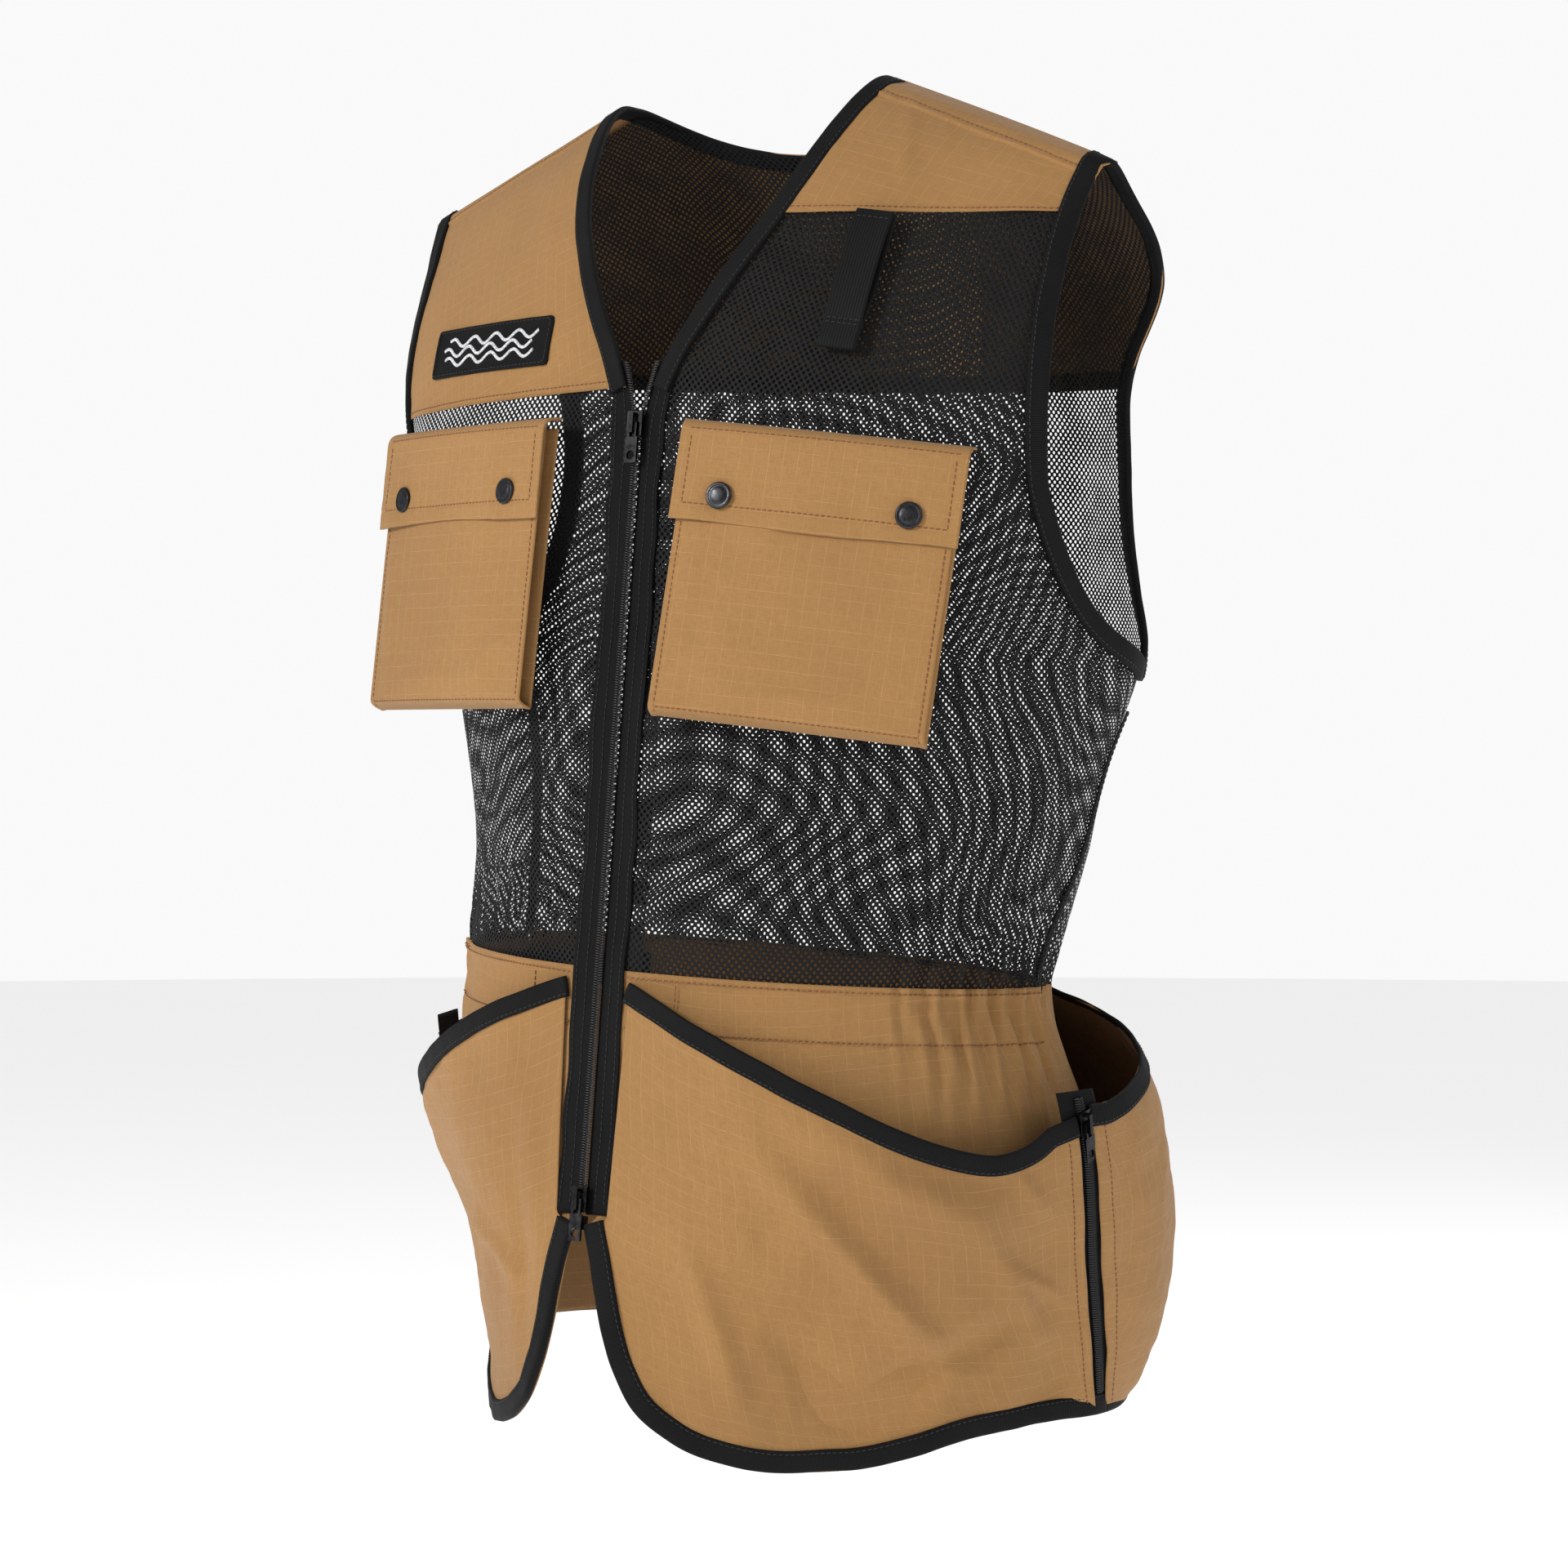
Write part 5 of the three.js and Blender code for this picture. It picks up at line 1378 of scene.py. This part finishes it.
class VEST_OT_chest(PieceOperator):
    """Make the chest pockets with their side folds, flaps and snaps"""

    bl_idname = "vest.chest"
    bl_label = "Chest pockets"

    def execute(self, context):
        for name, sign in SIDES:
            self.pocket(name, sign)
            self.flap(name, sign)
        return {"FINISHED"}

    def pocket(self, name, sign):
        matrix = pocket_frame(sign)
        half, height = POCKET["half"], POCKET["height"]
        u, v = grid_uv(90, 110)
        run = 2 + (height + 11) * v
        x = half * (2 * u - 1)
        roll = 5.5
        bottom = np.sin(smooth_step(height - roll, height + 13, run) * math.pi / 2)
        z = np.where(run > height - roll, height - roll + roll * bottom, run)
        full = within(v, 0.16, 0.2)
        puff = 1.6 * full * (1 - (2 * u - 1) ** 4) * np.sin(math.pi * np.clip(v, 0, 1)) ** 0.6
        rolled = pocket_face(x) * (1 - bottom**3) + 0.6
        flat = np.stack([x, np.zeros_like(x), z], -1)
        inside = within(u, 0.08) * full
        rucks = 1.3 * wander(flat, 46, 81 + sign, 2) + 0.35 * wander(flat, 15, 83 + sign, 3)
        for (a, b), (c, d), width, rise in (((-60, 60), (12 - half, 120), 7, 1.2),
                                            ((half - 12, 112), (20, 138), 7, 1.2),
                                            ((-40, 136), (45, 133), 6, 1.0)):
            rucks = rucks + crease(flat, (a, 0, b), (c, 0, d), width, rise)
        y = rolled + puff + inside * rucks
        points = to_world(matrix, np.stack([x, y, np.minimum(z, height)], -1))[::-1]
        cloth_piece(f"chest_front_{name}", points, ["ripstop", "inside_painted_shade"], (f"chest_pocket_{name}",), 0.6)
        outward = normals_of(points)
        lines = [(points[6:-3, column], outward[6:-3, column]) for column in (2, -3)]
        lines.append((points[9, 2:-2], outward[9, 2:-2]))
        for side in (-1, 1):
            w, t = grid_uv(14, 110)
            line = points[::-1][:, 0 if side < 0 else -1]
            edge_x, depth, edge_z = ((line - np.array(matrix)[:3, 3]) @ np.array(matrix)[:3, :3]).T[..., None]
            fold = 14.0 * np.clip(depth / 6, 0, 1)
            tuck = fold * (1 - np.abs(2 * w - 1) ** 0.85) * (0.92 + 0.18 * np.sin(t * 9 + sign))
            gusset = np.stack([side * (np.abs(edge_x) - 0.35 - tuck), depth * (1 - w) + 0.5 * w,
                               np.broadcast_to(edge_z, w.shape)], -1)
            cloth = to_world(matrix, gusset)[::-1]
            if side < 0:
                cloth = cloth[:, ::-1]
            place = "inner" if side * sign < 0 else "outer"
            cloth_piece(f"chest_gusset_{name}_{place}", cloth, ["ripstop"], (), 0.5)
        stitches(f"chest_stitching_{name}", lines, finish_of("thread"))

    def flap(self, name, sign):
        matrix = pocket_frame(sign)
        half, height = FLAP["half"], FLAP["height"]
        u, v = grid_uv(100, 70)
        over = 20.0
        run = -over + (height + over) * v
        x = half * (2 * u - 1)
        face = pocket_face(x * 0.97) + FLAP["gap"] + 0.9
        roll = smooth_step(-over, 5, run)
        y = 0.9 + (face - 0.9) * np.sin(roll * math.pi / 2)
        z = np.where(run < 5, -3.4 + 8.4 * roll**2.2, run)
        flat = np.stack([x, np.zeros_like(x), run], -1)
        hang = smooth_step(4, height, run)
        wave = 0.8 * np.sin(x / 17.0 + sign) + 0.5 * np.sin(x / 8.3 + 2)
        wave = wave + 0.8 * wander(flat, 30, 91 + sign, 2)
        dimple = 0
        for side in (-1, 1):
            away = np.hypot(x - side * SNAP_ACROSS, run - SNAP_DOWN)
            dimple = dimple - 0.9 * np.exp(-(away / 11) ** 2) + 0.55 * np.exp(-((away - 15) / 6) ** 2) * hang
        seams = quilted_rise(half - np.abs(x) - 5.5, 0.9, 0.35)
        seams = seams + quilted_rise(height - run - 8.5, 0.9, 0.35) * (run > 0)
        y = np.where(run > 3, face + hang * wave * 0.75 + dimple + seams + 0.25 * wander(flat, 9, 95, 2), y)
        edge = 0.8 * np.sin(x / 21.0 + 1.3 * sign) * smooth_step(height - 10, height, run)
        points = to_world(matrix, np.stack([x, y, np.minimum(z + edge, height + 1.5)], -1))[::-1]
        body_name = f"chest_flap_{name}"
        obj = cloth_piece(f"chest_flap_cloth_{name}", points, ["ripstop", "inside_painted_shade"], (body_name,), 1.3)
        obj.parent = None
        outward = normals_of(points)
        lines = [(points[9:-26, column], outward[9:-26, column]) for column in (4, -5)]
        lines.append((points[9, 4:-4], outward[9, 4:-4]))
        stitches(f"flap_stitching_{name}", lines, finish_of("thread"), body_name)
        top = [(points[-20, 3:-3], outward[-20, 3:-3])]
        stitches(f"flap_top_stitching_{name}", top, finish_of("thread"), ROOT)
        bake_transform(obj)
        shape = snap_cap()
        for place, side in (("inner", -sign), ("outer", sign)):
            x0 = side * SNAP_ACROSS
            tilt = Matrix.Rotation(-math.atan(8 * x0 / POCKET["half"] ** 2), 4, "Z")
            at = matrix @ Matrix.Translation((x0, float(pocket_face(x0)) + 4.7, SNAP_DOWN))
            cap = place_copies(f"snap_crown_{name}_{place}", shape, [at @ tilt], [finish_of("gunmetal")])
            finish_piece(cap, body_name, (f"snap_cap_{name}_{place}",))
        bpy.data.meshes.remove(shape)


# ---------- small fittings ----------
class VEST_OT_loop(PieceOperator):
    """Make the webbing loop on the wearer's left shoulder"""

    bl_idname = "vest.loop"
    bl_label = "Webbing loop"

    def execute(self, context):
        top = front_surface(119, -80) - (0, 3.2, 0)
        end = front_surface(112, -158) - (0, 3.2, 0)
        down = Vector(end - top).normalized()
        turn = math.radians(14)
        across = Vector((math.cos(turn), math.sin(turn), 0))
        across = (across - down * across.dot(down)).normalized()
        out = down.cross(across)
        if out.y > 0:
            out = -out
        matrix = local_frame(top, across, out)
        half, length = 10.4, 78.0
        u, v = grid_uv(20, 150)
        run = 2 * length * v
        front = run < length
        z = np.where(front, run, 2 * length - run) * 0.985 + 0.6
        near = np.clip((length - np.abs(run - length)) / length, 0, 1)
        gap = 2.6 * np.sin(math.pi * np.clip(near * 1.25, 0, 1)) ** 0.7 + 0.9
        turned = np.clip((np.abs(run - length)) / 4.0, 0, 1)
        y = 3.4 + np.where(front, gap, -gap) * np.sqrt(turned) + 0.25 * np.sin(z / 9.0)
        points = to_world(matrix, np.stack([half * (2 * u - 1), y, z], -1))[::-1]
        obj = surface_piece("webbing_strap", points, [finish_of("webbing")])
        thicken(obj, 1.3, 0.0)
        finish_piece(obj, "webbing_loop", ("webbing_loop",))
        lines = []
        facing = np.array(matrix)[:3, 1]
        for zed in (5.0, 62.0, 64.5):
            x = rows(-half + 1.2, half - 1.2, 24)
            at = float(np.interp(zed, z[:75, 10], y[:75, 10]))
            line = to_world(matrix, np.stack([x, np.full_like(x, at + 0.7), np.full_like(x, zed)], -1))
            lines.append((line, np.tile(facing, (len(x), 1))))
        stitches("loop_stitching", lines, finish_of("black thread"), "webbing_loop")
        return {"FINISHED"}


class VEST_OT_patch(PieceOperator):
    """Make the sewn patch with its wave lines"""

    bl_idname = "vest.patch"
    bl_label = "Patch"

    def execute(self, context):
        wide, high, corner = PATCH["wide"], PATCH["high"], PATCH["corner"]
        columns, lines = 110, 34
        u, v = grid_uv(columns, lines)
        x, z = PATCH["left"] + wide * u, PATCH["low"] + high * v
        past = np.maximum(0, np.abs(2 * u - 1) * wide / 2 - wide / 2 + corner)
        inset = corner - np.sqrt(np.maximum(corner**2 - past**2, 0))
        top = PATCH["low"] + high
        z = np.where(v > 0.5, np.minimum(z, top - inset), np.maximum(z, PATCH["low"] + inset))
        cloth = front_surface(x, z)
        out = normals_of(cloth)
        rim = np.minimum(np.minimum(u, 1 - u) * wide, np.minimum(v, 1 - v) * high)
        rise = 1.55 + 0.5 * np.exp(-((rim - 1.4) / 1.3) ** 2) + 0.25 * wander(cloth, 22, 7, 2)
        points = cloth + out * rise[..., None]
        obj = surface_piece("patch_cloth", points, [finish_of("patch")])
        thicken(obj, 1.1)
        finish_piece(obj, ROOT, ("chest_patch",))
        border = ([(a, 0.07) for a in rows(0.02, 0.98, 90)] + [(0.98, b) for b in rows(0.1, 0.9, 22)]
                  + [(a, 0.93) for a in rows(0.98, 0.02, 90)] + [(0.02, b) for b in rows(0.9, 0.1, 22)])
        i, j = np.rint(np.array(border).T * [[columns], [lines]]).astype(int)
        stitches("patch_border", [(points[j, i] + out[j, i] * 0.1, out[j, i])], finish_of("black thread"))
        for k, (first, last, shift) in enumerate(((0.1, 0.86, 0.0), (0.12, 0.88, -0.19), (0.14, 0.9, 0.19))):
            a = rows(first, last, 60)
            b = 0.5 + shift + 0.1 * np.sin((a - first) / (last - first) * 8 * math.pi + 0.5)
            i, j = (a * columns).astype(int), (b * lines).astype(int)
            across, up = (a * columns - i)[:, None], (b * lines - j)[:, None]
            path = ((1 - up) * ((1 - across) * points[j, i] + across * points[j, i + 1])
                    + up * ((1 - across) * points[j + 1, i] + across * points[j + 1, i + 1]))
            path = relax(path, 3)
            outs = np.tile(out[17, 40], (len(path), 1))
            obj = swept(f"patch_wave_{k}", path + outs * 0.25, outs, ribbon(0.9, 0.5, 0.1, 0.45, -0.3),
                        [finish_of("white thread")])
            finish_piece(obj, ROOT)
        return {"FINISHED"}


METAL = ("front_zip_box", "side_zip_left_", "side_zip_right_", "snap_stud", "snap_socket")


class VEST_OT_metal(PieceOperator):
    """Give the sliders, pulls, snap parts and the zip's box their finishes"""

    bl_idname = "vest.metal"
    bl_label = "Sliders and snaps"

    def execute(self, context):
        for name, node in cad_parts.items():
            if "slider" in name or "pull" in name or name.startswith(METAL):
                tone = "gunmetal" if name.startswith(("snap", "front_zip_bottom_pull")) else "black metal"
                node.data.materials.clear()
                node.data.materials.append(finish_of(tone))
        return {"FINISHED"}


OPERATORS = (VEST_OT_stage, VEST_OT_mesh, VEST_OT_yokes, VEST_OT_bindings, VEST_OT_skirt, VEST_OT_elastic,
             VEST_OT_zips, VEST_OT_chest, VEST_OT_loop, VEST_OT_patch, VEST_OT_metal)


class VEST_PT_panel(bpy.types.Panel):
    """Sidebar panel with the settings and the pieces of the vest"""

    bl_idname = "VEST_PT_panel"
    bl_label = "Field Vest"
    bl_space_type = "VIEW_3D"
    bl_region_type = "UI"
    bl_category = "Vest"

    def draw(self, context):
        for name in VestSettings.__annotations__:
            self.layout.prop(context.scene.vest, name)
        for operator in OPERATORS:
            self.layout.operator(operator.bl_idname)


CLASSES = (VestSettings, *OPERATORS, VEST_PT_panel)


def register():
    for item in CLASSES:
        bpy.utils.register_class(item)
    bpy.types.Scene.vest = bpy.props.PointerProperty(type=VestSettings)


def unregister():
    del bpy.types.Scene.vest
    for item in reversed(CLASSES):
        bpy.utils.unregister_class(item)


def main():
    register()
    for operator in OPERATORS:
        group, name = operator.bl_idname.split(".")
        getattr(getattr(bpy.ops, group), name)()


if __name__ == "__main__":
    main()
